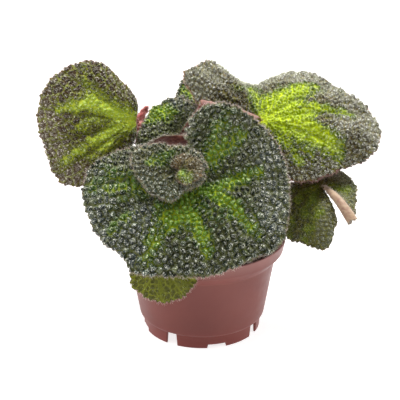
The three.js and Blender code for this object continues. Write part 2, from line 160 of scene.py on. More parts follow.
# Mesh helpers
def makePiece(name, points, faces, materials, stands=(), finish=None, marks=None, smooth=True):
    # points in millimetres; faces is a list of arrays, each with rows of three or four corners
    mesh = bpy.data.meshes.new(name)
    corners = np.concatenate([np.asarray(part).ravel() for part in faces]).astype(np.int32)
    sizes = np.concatenate([np.full(len(part), np.asarray(part).shape[1]) for part in faces])
    starts = np.concatenate([[0], np.cumsum(sizes)[:-1]]).astype(np.int32)
    mesh.vertices.add(len(points))
    mesh.vertices.foreach_set("co", toFrame(points).astype(np.float32).ravel())
    mesh.loops.add(len(corners))
    mesh.loops.foreach_set("vertex_index", corners)
    mesh.polygons.add(len(sizes))
    mesh.polygons.foreach_set("loop_start", starts)
    for material in materials:
        mesh.materials.append(material)
    if finish is not None:
        mesh.polygons.foreach_set("material_index", np.asarray(finish, np.int32))
    for key, values in (marks or {}).items():
        mesh.attributes.new(key, "FLOAT", "POINT").data.foreach_set("value", np.asarray(values, np.float32))
    mesh.polygons.foreach_set("use_smooth", np.full(len(sizes), smooth))
    mesh.update(calc_edges=True)
    mesh.validate()
    piece = bpy.data.objects.new(name, mesh)
    bpy.context.scene.collection.objects.link(piece)
    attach(piece, "root")
    if stands:
        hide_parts(*stands)


def unit(vectors):
    # each vector divided by its length
    return vectors / np.maximum(np.linalg.norm(vectors, axis=-1, keepdims=True), 1e-9)


def smoothstep(low, high, values):
    # t squared x (3 - 2 t), where t goes from 0 at low to 1 at high
    t = np.clip((values - low) / (high - low), 0, 1)
    return t * t * (3 - 2 * t)


def lengthsAlong(line):
    # the way from the line's first point to each of its points
    return np.concatenate([[0], np.cumsum(np.linalg.norm(np.diff(line, axis=0), axis=1))])


def readAt(spots, walked, values):
    # each column of the values, read straight between the points at the given lengths
    return np.stack([np.interp(spots, walked, values[:, k]) for k in range(3)], -1)


def gridFaces(rows, columns):
    # quads of a grid of points, turned so that across x up the rows points out
    index = np.arange(rows * columns).reshape(rows, columns)
    return np.stack([index[:-1, :-1], index[:-1, 1:], index[1:, 1:], index[1:, :-1]], -1).reshape(-1, 4)


def vertexNormals(points, quads):
    # sum of the cross products of each quad's diagonals, at its four corners
    across = np.cross(points[quads[:, 2]] - points[quads[:, 0]], points[quads[:, 3]] - points[quads[:, 1]])
    normals = np.zeros_like(points)
    for corner in range(4):
        np.add.at(normals, quads[:, corner], across)
    return unit(normals)


def spikes(roots, directions, lengths, width):
    # each hair is a closed three-sided spike: three corners round its root and a point at
    # root + length x direction
    directions = unit(directions)
    helper = np.where(np.abs(directions[:, 2:]) < 0.8, [[0, 0, 1.0]], [[1.0, 0, 0]])
    side = unit(np.cross(directions, helper))
    other = np.cross(directions, side)
    turns = np.arange(3) * 2 * np.pi / 3
    ring = np.cos(turns)[:, None] * side[:, None] + np.sin(turns)[:, None] * other[:, None]
    base = roots[:, None] + width * ring
    tips = (roots + directions * np.asarray(lengths)[:, None])[:, None]
    points = np.concatenate([base, tips], 1).reshape(-1, 3)
    faces = np.array([[0, 2, 1], [0, 1, 3], [1, 2, 3], [2, 0, 3]])
    return points, (faces[None] + 4 * np.arange(len(roots))[:, None, None]).reshape(-1, 3)


def closedRings(rings, firstEnd, lastEnd):
    # rings of points, one row each, joined into a tube and closed by a point at each end
    rows, columns = rings.shape[:2]
    index = np.arange(rows * columns).reshape(rows, columns)
    nextOne = np.roll(index, -1, 1)
    quads = np.stack([index[:-1], nextOne[:-1], nextOne[1:], index[1:]], -1).reshape(-1, 4)
    first, last = rows * columns, rows * columns + 1
    caps = np.concatenate([np.stack([nextOne[0], index[0], np.full(columns, first)], -1),
                           np.stack([index[-1], nextOne[-1], np.full(columns, last)], -1)])
    return np.concatenate([rings.reshape(-1, 3), [firstEnd, lastEnd]]), [quads, caps]


# Leaves
# joint, turn and ribs as in the part: where the stalk joins, how the blade is turned, and for each rib
# its direction from the tip line, its length, and its slopes at the joint and at the margin. root and way:
# where its stalk leaves the compost and the points that it passes.
# hems: how wide the edge beside the first and the last rib is that rolls up, and how far it curls.
# glow and the silvery bands: bright bands, and silvery ones where more hairs stand, pillows turn slate and
# more painted highlights fall, each from (direction, share) to (direction, share), width, strength.
# rows: how fine the mesh is; grain: the distance between pillows 60 mm from the joint; relief: their height;
# hairs: how many stand on them, against the usual number; fringe and under: the colours of the margin's
# hairs and of the underside
leaves = {
    "front": {
        "node": "front", "look": "dark", "rows": 166, "grain": 4.9, "relief": 2.7,
        "joint": (-8.4, -26, 123), "turn": (-86, -42, 0), "root": (1, -9),
        "way": [(-2, -8, 92), (-8, -14, 112)], "veins": (-112, -88, -62, -30, 9, 46, 88, 128, 160),
        "ribs": [
            (-136, 30, -10, 0), (-119, 49, -10, 4), (-94, 73, -14, 20), (-73, 76, -15, 26),
            (-51, 76, -15, 24), (-42, 74, -15, 23), (-32, 79, -15, 22), (-17, 74, -15, 26),
            (3, 72, -16, 28), (33, 72, -14, 30), (52, 78, -13, 30), (72, 73, -12, 28), (104, 66, -14, 4),
            (133, 61, -17, -15), (160, 56, -19, -19), (173, 46, -17, -17), (180, 33, -10, -6),
        ],
        "glow": [
            (-3, 0.2, -22, 0.32, 10, 0.8), (-22, 0.3, -27, 0.5, 11, 0.8), (-27, 0.5, -29, 0.72, 8, 0.7),
            (-29, 0.72, -28, 0.86, 7, 0.5), (-22, 0.3, -9, 0.39, 7, 0.95), (-9, 0.39, 4, 0.48, 6.5, 1.1),
            (4, 0.48, 8, 0.64, 6, 1.05), (8, 0.64, 9, 0.8, 4.5, 0.85), (-3, 0.2, 38, 0.2, 6, 0.7),
            (38, 0.2, 50, 0.32, 7, 0.95), (50, 0.32, 51, 0.44, 6.5, 1.0), (51, 0.44, 47, 0.68, 6, 0.85),
            (47, 0.68, 47, 0.8, 4.5, 0.5), (38, 0.2, 79, 0.39, 6.5, 0.85), (79, 0.39, 88, 0.55, 6, 0.85),
            (88, 0.55, 93, 0.72, 5, 0.65), (124, 0.27, 132, 0.4, 8, 0.7), (132, 0.4, 129, 0.56, 8, 0.85),
            (129, 0.56, 128, 0.76, 6, 0.75), (138, 0.4, 149, 0.72, 9, 0.5),
            (-65, 0.35, -88, 0.72, 12, 0.55), (-88, 0.72, -89, 0.85, 8, 0.45),
            # the band of strength 1.2 at the end of the next line is partly the leaf's own lime colour and
            # partly painted light that lifts the young leaf's shadow there
            (-59, 0.68, -58, 0.88, 6, 0.45), (-15, 0.3, 45, 0.5, 14, 0.35), (-21, 0.24, -20, 0.44, 10, 1.2),
            (-37, 0.37, -27, 0.55, 9, 0.7),
        ],
        "silverAndHighlight": [
            (-50, 0.6, -32, 0.95, 12, 0.9), (-90, 0.8, -60, 0.95, 8, 0.6), (60, 0.8, 100, 0.8, 10, 0.5),
        ],
    },
    "right": {
        "node": "right", "look": "bright", "fringe": "pink", "hairs": 1.2, "rows": 166, "grain": 3.8,
        "relief": 1.9,
        "joint": (42.1, 11.3, 153.7), "turn": (-5, -14, 32), "root": (13, 9),
        "way": [(20, 19, 100), (31, 26, 140)], "hems": [(0, 180), (20, 200)],
        "veins": (-95, -62, -34, 2, 27, 50, 74, 98, 122, 150, 172),
        "ribs": [
            (-125, 23, -3, 33), (-95, 28, 2, 45), (-80, 33, 4, 48), (-57, 45, 3, 43), (-41, 53, 0, 33),
            (-11, 68, -1, 32), (9, 91, -5, 26), (26, 94, -6, 23), (43, 79, -7, 20), (60, 70, -7, 19),
            (76, 71, -8, 34), (90, 62, -9, 52), (104, 57, -11, 65), (119, 56, -15, 57), (130, 56, -17, 38),
            (142, 62, -20, 14), (151, 62, -18, 8), (158, 63, -17, 7), (165, 65, -16, 6), (174, 55, -12, 4),
            (182, 48, -6, 3), (189, 45, -3, 3),
        ],
        "glow": [
            (100, 0.05, 88, 0.25, 9, 0.8), (88, 0.25, 62, 0.42, 9, 0.95), (62, 0.42, 55, 0.65, 8, 0.95),
            (55, 0.65, 53, 0.76, 6, 0.6), (60, 0.1, 45, 0.35, 12, 0.95), (46, 0.31, 32, 0.5, 5, 0.75),
            (32, 0.5, 26, 0.76, 4, 0.65), (20, 0.05, 4, 0.2, 10, 1.1), (4, 0.2, 3, 0.32, 11, 1.15),
            (3, 0.32, 2, 0.46, 10, 1.15), (2, 0.46, 0, 0.66, 8.5, 1.1), (0, 0.66, -3, 0.8, 5.5, 0.8),
            (27, 0.15, 27, 0.36, 9, 0.95), (0, 0.1, -27, 0.37, 9, 0.6), (-27, 0.37, -34, 0.7, 5, 0.65),
            (-10, 0.3, -15, 0.75, 10, 0.35), (117, 0.2, 117, 0.45, 8, 0.65),
        ],
        "silverAndHighlight": [
            (35, 0.95, 80, 0.88, 12, 1.0), (13, 0.6, 25, 0.75, 9, 0.6), (20, 0.95, 35, 0.95, 12, 0.8),
            (104, 0.9, 160, 0.8, 16, 0.6),
        ],
    },
    "left": {
        "node": "left", "look": "net", "fringe": "pink", "hairs": 0.6, "rows": 114, "grain": 3.8,
        "relief": 1.2,
        "joint": (-46.8, 9, 153.8), "turn": (188, -12, -70), "root": (-14, 9),
        "way": [(-31, 15, 105), (-49, 26, 142)], "veins": (-78, -48, -22, 0, 20, 38),
        "ribs": [
            (-112, 10, 0, 0), (-84, 31, -10, 12), (-74, 48, -10, 20), (-63, 58, -10, 26),
            (-38, 70, -10, 26), (-17, 72, -10, 26), (4, 69, -10, 24), (24, 70, -10, 20), (34, 62, -10, 18),
            (46, 43, -5, 15), (62, 22, 0, 5), (80, 8, 0, 0),
        ],
        "glow": [
            (-30, 0.05, -38, 0.3, 8, 1.0), (-38, 0.3, -37, 0.47, 7, 1.0), (-37, 0.47, -28, 0.62, 5.5, 0.85),
            (-28, 0.62, -23, 0.78, 4.5, 0.65), (-38, 0.3, -46, 0.49, 6, 0.75),
            (-46, 0.49, -49, 0.66, 5, 0.5), (-49, 0.66, -60, 0.9, 4, 0.3), (0, 0.05, 4, 0.2, 7, 0.9),
            (4, 0.2, 9, 0.36, 6, 0.95), (9, 0.36, 12, 0.5, 5.5, 0.85), (12, 0.5, 13, 0.66, 5, 0.7),
            (13, 0.66, 15, 0.88, 4, 0.5), (15, 0.15, 26, 0.45, 6, 0.65), (26, 0.45, 27, 0.6, 5, 0.4),
            (-20, 0.2, -15, 0.5, 10, 0.4),
        ],
        "silverAndHighlight": [
            (-20, 0.9, 10, 0.9, 10, 0.5), (-80, 0.5, -80, 0.9, 8, 0.6), (18, 0.95, 38, 0.95, 9, 1.0),
        ],
    },
    "backLeft": {
        "node": "back_left", "look": "dark", "fringe": "brown", "rows": 80, "grain": 4.1, "relief": 1.8,
        "joint": (-15.9, 16.6, 141.9), "turn": (178, 10, -45), "root": (-5, 13),
        "way": [(-8, 22, 100), (-13, 24, 124)], "hems": [(12, 190), (0, 180)],
        "veins": (-100, -76, -50, -24, 2, 24),
        "ribs": [
            (-118, 24, -8, -6), (-104, 25, -8, -2), (-90, 27, -6, 5), (-66, 30, -8, 16), (-48, 29, -8, 19),
            (-30, 29, -8, 20), (-13, 28, -8, 20), (5, 30, -8, 18), (18, 32, -6, 12), (28, 34, -4, 12),
            (36, 34, 0, 5), (42, 33, 12, -60), (48, 33, 20, -108), (57, 32, 24, -126), (75, 31, 28, -145),
            (110, 31, 28, -148), (150, 30, 28, -140),
        ],
        "glow": [
            (-15, 0.85, -30, 0.8, 5, 0.8), (-30, 0.8, -52, 0.7, 6, 1.1), (-52, 0.7, -62, 0.6, 5, 0.8),
            (-40, 0.72, -50, 0.5, 5, 0.6),
        ],
        "silverAndHighlight": [(-10, 0.9, -10, 0.6, 6, 0.5), (-95, 0.8, -75, 0.9, 8, 0.5)],
    },
    "top": {
        "node": "top", "look": "dark", "fringe": "brown", "rows": 68, "grain": 4.0, "relief": 1.9,
        "joint": (14.7, 42, 152), "turn": (178, 8, -35), "root": (3, 13),
        "way": [(6, 26, 95), (9, 36, 122), (12.5, 46, 140)], "veins": (-95, -50, -17, 30, 80),
        "ribs": [
            (-150, 20, -5, 10), (-110, 26, -8, 14), (-73, 27, -10, 10), (-50, 39, -10, 10),
            (-28, 38, -10, 12), (-7, 35, -10, 14), (34, 27, -10, 20), (80, 20, -8, 20), (130, 16, -5, 14),
        ],
        "glow": [(-13, 0.55, -24, 0.9, 4, 0.8)],
        "silverAndHighlight": [(-50, 0.9, -50, 0.5, 8, 0.5)],
    },
    "young": {
        "node": "young", "look": "young", "fringe": "brown", "rows": 84, "grain": 4.8, "relief": 2.0,
        "joint": (-17.5, -40, 134), "turn": (200, -12, -42), "root": (-9, -6),
        "way": [(-11, 0, 100), (-14, -9, 125), (-14, -18, 132.5), (-16, -29, 131)], "approach": 5,
        "veins": (-140, -95, -48, 0, 50, 110),
        "ribs": [
            (-190, 22, -6, 24), (-165, 22, -6, 20), (-137, 20.5, -8, 14), (-115, 20, -9, 13),
            (-97, 21, -10, 12), (-68, 28, -12, 16), (-52, 34, -14, 28), (-35, 32, -14, 34),
            (-12, 26, -14, 38), (21, 23, -14, 40), (67, 20, -14, 40), (80, 15.5, -13, 38),
            (95, 14, -12, 36), (110, 15.5, -12, 35), (130, 18, -10, 32), (158, 21, -8, 25),
        ],
        "glow": [
            (-41, 0.57, -71, 0.51, 4, 0.65), (-71, 0.51, -109, 0.65, 4, 0.5),
            (-44, 0.3, -41, 0.6, 3.5, 0.4), (-60, 0.3, -100, 0.5, 8, 0.3),
        ],
        "silverAndHighlight": [(0, 0.7, 60, 0.8, 8, 0.6)],
    },
    "lowRight": {
        "node": "low_right", "look": "shade", "under": "pale", "hairs": 0.4, "rows": 80, "grain": 4.2,
        "relief": 1.1,
        "joint": (86, 8, 104.4), "turn": (60, 12, 0), "root": (15, 2),
        "way": [(40, 8, 70), (60, 12, 77), (76, 11, 86)], "hems": [(15, 200), (0, 180)],
        "veins": (-90, -40, 10, 60, 120, 160, 195),
        "ribs": [
            (-122, 40, -5, 40), (-112, 36, -5, 40), (-93, 29, -5, 40), (-60, 26, -5, 24), (-33, 26, -5, 20),
            (0, 29, -5, 20), (40, 26, -5, 24), (80, 29, -5, 36), (117, 38, -5, 60), (163, 49, -5, 75),
            (190, 50, -5, 75), (203, 53, -5, 75), (211, 52, -5, 72), (217, 42, -5, 68), (223, 36, -5, 62),
            (229, 30, -5, 60),
        ],
        "glow": [
            (134, 0.1, 150, 0.45, 6, 0.6), (178, 0.2, 178, 0.6, 5, 0.55), (-78, 0.25, -80, 0.65, 6, 0.6),
            (200, 0.5, 185, 0.9, 6, 0.5), (120, 0.3, 110, 0.9, 5, 0.45), (150, 0.45, 165, 0.9, 6, 0.4),
        ],
        "silverAndHighlight": [
            (207, 0.4, 207, 0.8, 6, 0.8), (-100, 0.6, -80, 0.7, 8, 0.8), (-20, 0.7, -90, 0.7, 10, 0.6),
        ],
    },
    "lowFront": {
        "node": "low_front", "look": "olive", "hairs": 0.25, "rows": 52, "grain": 3.2, "relief": 0.4,
        "joint": (-28, -62.5, 77.5), "turn": (-90, -82, 0), "root": (-5, -12),
        "way": [(-14, -26, 73), (-25, -50, 78)], "veins": (-60, -30, 0, 32, 60),
        "ribs": [
            (-100, 13, 0, 0), (-75, 21, 0, 5), (-50, 26, 0, 8), (-26, 27, 0, 8), (0, 29, 0, 8),
            (26, 29, 0, 8), (52, 28, 0, 8), (74, 25, 0, 5), (100, 14, 0, 0),
        ],
        "glow": [(0, 0.1, 0, 0.9, 2, 0.5), (30, 0.3, 50, 0.7, 8, 0.3)],
        "silverAndHighlight": [],
    },
    "rearRight": {
        "node": "rear_right", "look": "dark", "rows": 60, "grain": 4.6, "relief": 1.2,
        "joint": (34, 48, 110), "turn": (60, -34, 0), "root": (9, 16), "way": [(19, 28, 86), (31, 41, 101)],
        "veins": (-120, -75, -35, 5, 45, 85, 125),
        "ribs": [
            (-160, 24, -5, 10), (-120, 36, -8, 20), (-70, 35, -12, 28), (-25, 42, -12, 32),
            (15, 47, -12, 32), (60, 42, -12, 28), (105, 31, -8, 20), (145, 21, -5, 10),
        ],
    },
    "rearLeft": {
        "node": "rear_left", "look": "bright", "rows": 64, "grain": 4.6, "relief": 1.1,
        "joint": (-36, 44, 106), "turn": (124, -36, 0), "root": (-12, 17),
        "way": [(-20, 26, 82), (-33, 37, 98)], "veins": (-115, -75, -35, 0, 40, 80, 115),
        "ribs": [
            (-155, 24, -5, 10), (-115, 36, -8, 20), (-70, 42, -12, 28), (-25, 46, -12, 32),
            (20, 48, -12, 32), (65, 42, -12, 28), (110, 32, -8, 20), (138, 20, -5, 10),
        ],
    },
    "rearMiddle": {
        "node": "rear_middle", "look": "dark", "rows": 46, "grain": 4.4, "relief": 1.0,
        "joint": (-1, 55, 129), "turn": (88, -26, 0), "root": (0, 19), "way": [(0, 31, 88), (1, 44, 113)],
        "veins": (-105, -55, 0, 55, 105),
        "ribs": [
            (-150, 13, -5, 10), (-100, 22, -10, 20), (-50, 26, -12, 28), (0, 30, -12, 30),
            (50, 27, -12, 28), (100, 22, -10, 20), (150, 13, -5, 10),
        ],
    },
}

# the young leaf's base curls over itself: a lobe of the same blade that lies on its upper face
youngLobe = {
    "look": "curl", "fringe": "brown", "rows": 56, "grain": 4.0, "relief": 1.4,
    "joint": (-14.8, -43.4, 136.6), "turn": (200, -12, -42), "veins": (-290, -245, -200, -155, -105),
    "ribs": [
        (-325, 6, -15, 40), (-293, 9, -20, 42), (-255, 12, -25, 42), (-225, 14, -25, 42),
        (-200, 16, -25, 42), (-175, 16.5, -25, 42), (-150, 15, -25, 42), (-120, 13, -25, 42),
        (-85, 10, -22, 42), (-50, 6.5, -15, 40),
    ],
    "glow": [(-280, 0.3, -250, 0.75, 5, 0.6), (-250, 0.5, -210, 0.5, 3, 0.3)],
    "silverAndHighlight": [(-240, 0.7, -200, 0.7, 6, 0.5)],
}

# Colours of a blade's upper face. gap is the ground between the pillows, knob, other and slate are the
# pillows, glint the painted highlights on them, partly the pale hair at their tips, and net the fine veins
# over them. Those of mid and bright are for the faint and the bright part of a band, and rim is for the
# margin. The number is how strongly net shows
lookParts = ("gap", "knob", "other", "slate", "glint", "net",
             "midGap", "midKnob", "brightGap", "brightKnob", "brightGlint", "rim")
leafLooks = {
    "dark": ("#565a30", "#101a08", "#1c2a10", "#343e3e", "#f4f4e8", "#8a9058",
             "#748420", "#2e4c14", "#aab81c", "#668a20", "#e6eeb4", "#9a8272", 0.4),
    "bright": ("#625426", "#2a2212", "#3e361c", "#6a675c", "#f2f2ea", "#8a8a3c",
               "#8e9c12", "#4a600e", "#c8d808", "#a0b60e", "#f0f6b4", "#9a5458", 0.3),
    "net": ("#4a3614", "#24180c", "#382614", "#5e5246", "#dcd4c4", "#8c9626",
            "#949e1c", "#5a641a", "#c6d034", "#a0b830", "#f4f8c4", "#8a5850", 0.65),
    "young": ("#5c5836", "#161e0c", "#2a2e1a", "#4a5448", "#eae8da", "#767a46",
              "#6e7c22", "#324c18", "#909e34", "#64843a", "#e0e8bc", "#b09a8c", 0.3),
    "curl": ("#64502e", "#2a2412", "#44361e", "#565240", "#e6dcc8", "#7a6a3a",
             "#74782c", "#485020", "#a0b04a", "#7a9a44", "#e4ecc4", "#8a6a58", 0.3),
    "shade": ("#545016", "#26280a", "#3c3a14", "#545642", "#9c9e7c", "#7c7c20",
              "#6c7418", "#48560c", "#8c9a24", "#647c18", "#b0b86c", "#74583c", 0.4),
    "olive": ("#4c4a06", "#3c3e02", "#484a04", "#4c4a08", "#6a6a14", "#868c22",
              "#666a08", "#585e02", "#7a8208", "#686e02", "#868c24", "#54501c", 0.9),
}

hairy = {"perArea": 2.6, "length": 1.9, "width": 0.052, "sunk": 0.12,
         "rimEvery": 0.13, "rimLength": 2.4, "rimWidth": 0.075, "rimSunk": 0.3}
quilt = {
    "start": 0.6, "growth": 150,  # a leaf's grain x (start + way from the joint / growth) is the pitch
    "rowHeight": 0.87, "scatter": (0.6, 0.5), "border": (0.02, 0.2), "dome": (0.9, 0.1), "net": 0.1,
    # the first pair on the next line sets the painted highlight stroke on each pillow's top: its width
    # across the row and its length along it
    "crestHighlight": (0.2, 0.11), "draws": ((12.9898, 78.233, 43758.5453), (39.346, 11.135, 24634.6345)),
}
# inner and outer: half the blade's thickness, inside and at the margin; waves: the margin's teeth, as
# (length, height); arch: the rise between main veins; hemSpan: the degrees that stand for a rolled edge
bladeEdge = {"inner": 0.45, "outer": 0.3, "waves": [(2.7, 0.4), (4.3, 0.55), (13, 0.5)], "arch": 2.2,
             "hemSpan": 20}
noHems = ((0, 0), (0, 0))


def bladeAxes(turn):
    # the tip line, the line across it, and out of the upper face
    heading, pitch, roll = np.radians(turn)
    tip = np.array([np.cos(pitch) * np.cos(heading), np.cos(pitch) * np.sin(heading), np.sin(pitch)])
    level = np.array([-np.sin(heading), np.cos(heading), 0])
    across = level * np.cos(roll) + np.cross(tip, level) * np.sin(roll)
    return tip, across, np.cross(tip, across)


def ribToward(ribs, angles):
    # length and slopes at any direction: a cubic through each pair of ribs, with tangents from their
    # neighbours
    table = np.array(ribs, float)
    at, values = table[:, 0], table[:, 1:]
    last = len(at) - 1
    low = np.maximum(np.arange(last + 1) - 1, 0)
    high = np.minimum(np.arange(last + 1) + 1, last)
    tangents = (values[high] - values[low]) / (at[high] - at[low])[:, None]
    i = np.clip(np.searchsorted(at, angles) - 1, 0, last - 1)
    span = (at[i + 1] - at[i])[..., None]
    t = (angles - at[i])[..., None] / span
    return ((2 * t**3 - 3 * t**2 + 1) * values[i] + (t**3 - 2 * t**2 + t) * tangents[i] * span
            + (3 * t**2 - 2 * t**3) * values[i + 1] + (t**3 - t**2) * tangents[i + 1] * span)


def inFan(leaf, angles):
    # a direction beyond the outer ribs stands for a place on the rolled edge beside them
    return np.clip(angles, leaf["ribs"][0][0], leaf["ribs"][-1][0])


def bladePoints(leaf, angles, share, stretch=1.0):
    # a rib bends evenly: along it goes the integral of cos(slope), away from the face that of sin(slope).
    # A rolled edge goes on from the outer rib in an arc that is width x square root of share long
    tip, across, out = bladeAxes(leaf["turn"])
    held = inFan(leaf, angles)
    rib = ribToward(leaf["ribs"], held)
    start = np.radians(rib[..., 1])
    bend = np.radians(rib[..., 2] - rib[..., 1])
    bend = np.where(np.abs(bend) < 1e-6, 1e-6, bend)
    now = start + bend * share
    length = rib[..., 0] * stretch
    along = (np.sin(now) - np.sin(start)) / bend * length
    drop = (np.cos(start) - np.cos(now)) / bend * length
    turn = np.radians(held)[..., None]
    onward = np.cos(turn) * tip + np.sin(turn) * across
    normal = np.sin(now)[..., None] * onward + np.cos(now)[..., None] * out
    points = np.array(leaf["joint"]) + along[..., None] * onward - drop[..., None] * out
    for side, (width, curl) in zip((-1, 1), leaf.get("hems", ())):
        turned = np.radians(curl) * np.clip(side * (angles - held) / bladeEdge["hemSpan"], 0, 1)[..., None]
        radius = (width * np.sqrt(share) / np.radians(curl))[..., None]
        aside = side * (np.cos(turn) * across - np.sin(turn) * tip)
        points = points + radius * (np.sin(turned) * aside + (1 - np.cos(turned)) * normal)
    return points


def flatPlace(leaf, angle, share):
    # a spot of the blade laid flat: the rib's length times the share, in its direction, and aside on a
    # rolled edge
    angle = np.asarray(angle, float)
    held = inFan(leaf, angle)
    reach = ribToward(leaf["ribs"], held)[..., 0] * share
    widths = [width for width, _ in leaf.get("hems", noHems)]
    aside = np.where(angle < held, *widths) * np.sqrt(share) * (angle - held) / bladeEdge["hemSpan"]
    turn = np.radians(held)
    cos, sin = np.cos(turn), np.sin(turn)
    return np.stack([reach * cos - aside * sin, reach * sin + aside * cos], -1)


def nearLine(places, first, second):
    # distance from each place to the line between two points
    step = second - first
    t = np.clip(((places - first) @ step) / max(step @ step, 1e-9), 0, 1)
    return np.linalg.norm(places - first - t[..., None] * step, axis=-1)


def bands(leaf, places, lines):
    # the strongest of the bands, each strength x exp(-(distance / width) squared)
    level = np.zeros(places.shape[:-1])
    for fromAngle, fromShare, toAngle, toShare, width, strength in lines:
        away = nearLine(places, flatPlace(leaf, fromAngle, fromShare), flatPlace(leaf, toAngle, toShare))
        level = np.maximum(level, strength * np.exp(-(away / width) ** 2))
    return level


def veinLines(leaf):
    # each main vein is straight to near the margin and forks twice on each side
    lines = []
    for angle in leaf["veins"]:
        reach = float(ribToward(leaf["ribs"], np.array(float(angle)))[0])
        turn = np.radians(angle)
        along = np.array([np.cos(turn), np.sin(turn)])
        lines.append((np.zeros(2), along * reach * 0.94, 1.0))
        for fork, side, size in ((0.3, 1, 0.38), (0.42, -1, 0.36), (0.56, 1, 0.28), (0.66, -1, 0.24)):
            away = turn + side * np.radians(36)
            begin = along * reach * fork
            middle = begin + np.array([np.cos(away), np.sin(away)]) * reach * size * 0.5
            away = turn + side * np.radians(22)
            end = middle + np.array([np.cos(away), np.sin(away)]) * reach * size * 0.5
            lines += [(begin, middle, 0.55), (middle, end, 0.4)]
    return lines


def drawAt(spot, line, seed, draw):
    # each pillow's own number from 0 to 1: the fraction of a large multiple of a sine
    value = np.sin(spot * draw[0] + line * draw[1] + seed) * draw[2]
    return value - np.floor(value)


def quilting(turn, away, pitch, seed):
    # pillows stand in uneven rows round the joint. As the pitch grows outwards, the row number is
    # log(1 + away / even) x growth / pitch. From the distances to the nearest and the second nearest pillow
    # come its height, 0 to 1, how near its border is, its own number, and a painted highlight stroke along
    # its top
    growth, rowHeight = quilt["growth"], quilt["rowHeight"]
    even = quilt["start"] * growth
    row = np.log1p(away / even) * growth / (rowHeight * pitch)
    nearest = np.full(turn.shape, 9.0)
    second = np.full(turn.shape, 9.0)
    label, crestHighlight = np.zeros(turn.shape), np.zeros(turn.shape)
    for down in (-1, 0, 1):
        line = np.floor(row) + down
        middle = even * np.expm1((line + 0.5) * rowHeight * pitch / growth)
        across = turn * middle / (pitch * (quilt["start"] + middle / growth))
        across = across + 0.37 * line + 0.3 * np.sin(2.4 * line)
        for over in (-1, 0, 1):
            spot = np.floor(across) + over
            own, other = (drawAt(spot, line, seed, draw) for draw in quilt["draws"])
            aside = across - spot - 0.5 - quilt["scatter"][0] * (own - 0.5)
            onward = rowHeight * (row - line - 0.5 - quilt["scatter"][1] * (other - 0.5))
            apart = np.hypot(aside, onward)
            closer = apart < nearest
            second = np.where(closer, nearest, np.minimum(second, apart))
            label = np.where(closer, own, label)
            # a painted highlight stroke on the pillow's top, stronger on some pillows than on others
            stroke = np.exp(-(aside / quilt["crestHighlight"][0]) ** 2 - (onward / quilt["crestHighlight"][1]) ** 2)
            crestHighlight = np.where(closer, stroke * (0.1 + 0.9 * other), crestHighlight)
            nearest = np.where(closer, apart, nearest)
    border = (second - nearest) / 2
    height = smoothstep(*quilt["border"], border) * smoothstep(*quilt["dome"], nearest)
    return height, 1 - smoothstep(0.0, quilt["net"], border), label, crestHighlight


def leafMaterial(name, look):
    # ground and pillows by the pillow's height, yellow green where a band glows, and painted highlights on
    # the pillows' tops, partly the pale hair there
    *codes, netShare = leafLooks[look]
    colours = dict(zip(lookParts, map(linear, codes)))
    material, tree, shader = newMaterial(name, 0.5, Specular_IOR_Level=0.22)
    own, silverAndHighlight = mark(tree, "own"), mark(tree, "silverAndHighlight")
    height = combine(tree, "ADD", mark(tree, "pillow"), ramp(tree, noise(tree, 900), 0.3, 0.8, -0.1, 0.12))
    glow = combine(tree, "ADD", mark(tree, "glow"), ramp(tree, own, 0.0, 1.0, -0.1, 0.1))
    glow = combine(tree, "ADD", glow, ramp(tree, noise(tree, 130), 0.25, 0.75, -0.2, 0.14))
    faint, strong = ramp(tree, glow, 0.02, 0.45), ramp(tree, glow, 0.25, 0.85)
    netting = combine(tree, "MULTIPLY", mark(tree, "net"), netShare)
    ground = blend(tree, netting, colours["gap"], colours["net"])
    ground = blend(tree, faint, ground, colours["midGap"])
    ground = blend(tree, strong, ground, colours["brightGap"])
    knob = blend(tree, ramp(tree, own, 0.2, 1.0), colours["knob"], colours["other"])
    knob = blend(tree, ramp(tree, silverAndHighlight, 0.5, 1.0), knob, colours["slate"])
    knob = blend(tree, netting, knob, colours["net"])
    knob = blend(tree, ramp(tree, glow, 0.08, 0.5), knob, colours["midKnob"])
    knob = blend(tree, ramp(tree, glow, 0.35, 0.95), knob, colours["brightKnob"])
    colour = blend(tree, ramp(tree, height, 0.02, 0.3), ground, knob)
    # painted highlights: near-white specks and strokes on the raised part of each pillow, more of them in
    # silvery zones and in bands; in part they stand for the pale hair there
    glint = blend(tree, ramp(tree, glow, 0.2, 0.8), colours["glint"], colours["brightGlint"])
    highlightSpecks, grains = noise(tree, 1100, 1.0), noise(tree, 1500, 1.0)
    raised = ramp(tree, height, 0.2, 0.9, 0.3, 0.9)
    spark = combine(tree, "MULTIPLY", ramp(tree, highlightSpecks, 0.57, 0.65), raised)
    crestHighlight = ramp(tree, mark(tree, "crestHighlight"), 0.3, 0.8)
    crestHighlight = combine(tree, "MULTIPLY", crestHighlight, ramp(tree, grains, 0.42, 0.6))
    spark = combine(tree, "MAXIMUM", spark, crestHighlight)
    shine = ramp(tree, glow, 0.2, 0.8, 0.0, 0.15)
    sparkle = combine(tree, "ADD", ramp(tree, silverAndHighlight, 0.1, 1.0, 0.38, 1.0), shine)
    colour = blend(tree, combine(tree, "MULTIPLY", spark, sparkle), colour, glint)
    rim = combine(tree, "MULTIPLY", mark(tree, "rim"), ramp(tree, noise(tree, 420), 0.35, 0.65, 0.2, 1.0))
    colour = blend(tree, rim, colour, colours["rim"])
    feed(tree, shader.inputs["Base Color"], colour)
    feed(tree, shader.inputs["Roughness"], ramp(tree, height, 0.3, 1.0, 0.6, 0.32))
    roughen(tree, shader, noise(tree, 1800, 3), 0.0002)
    return material


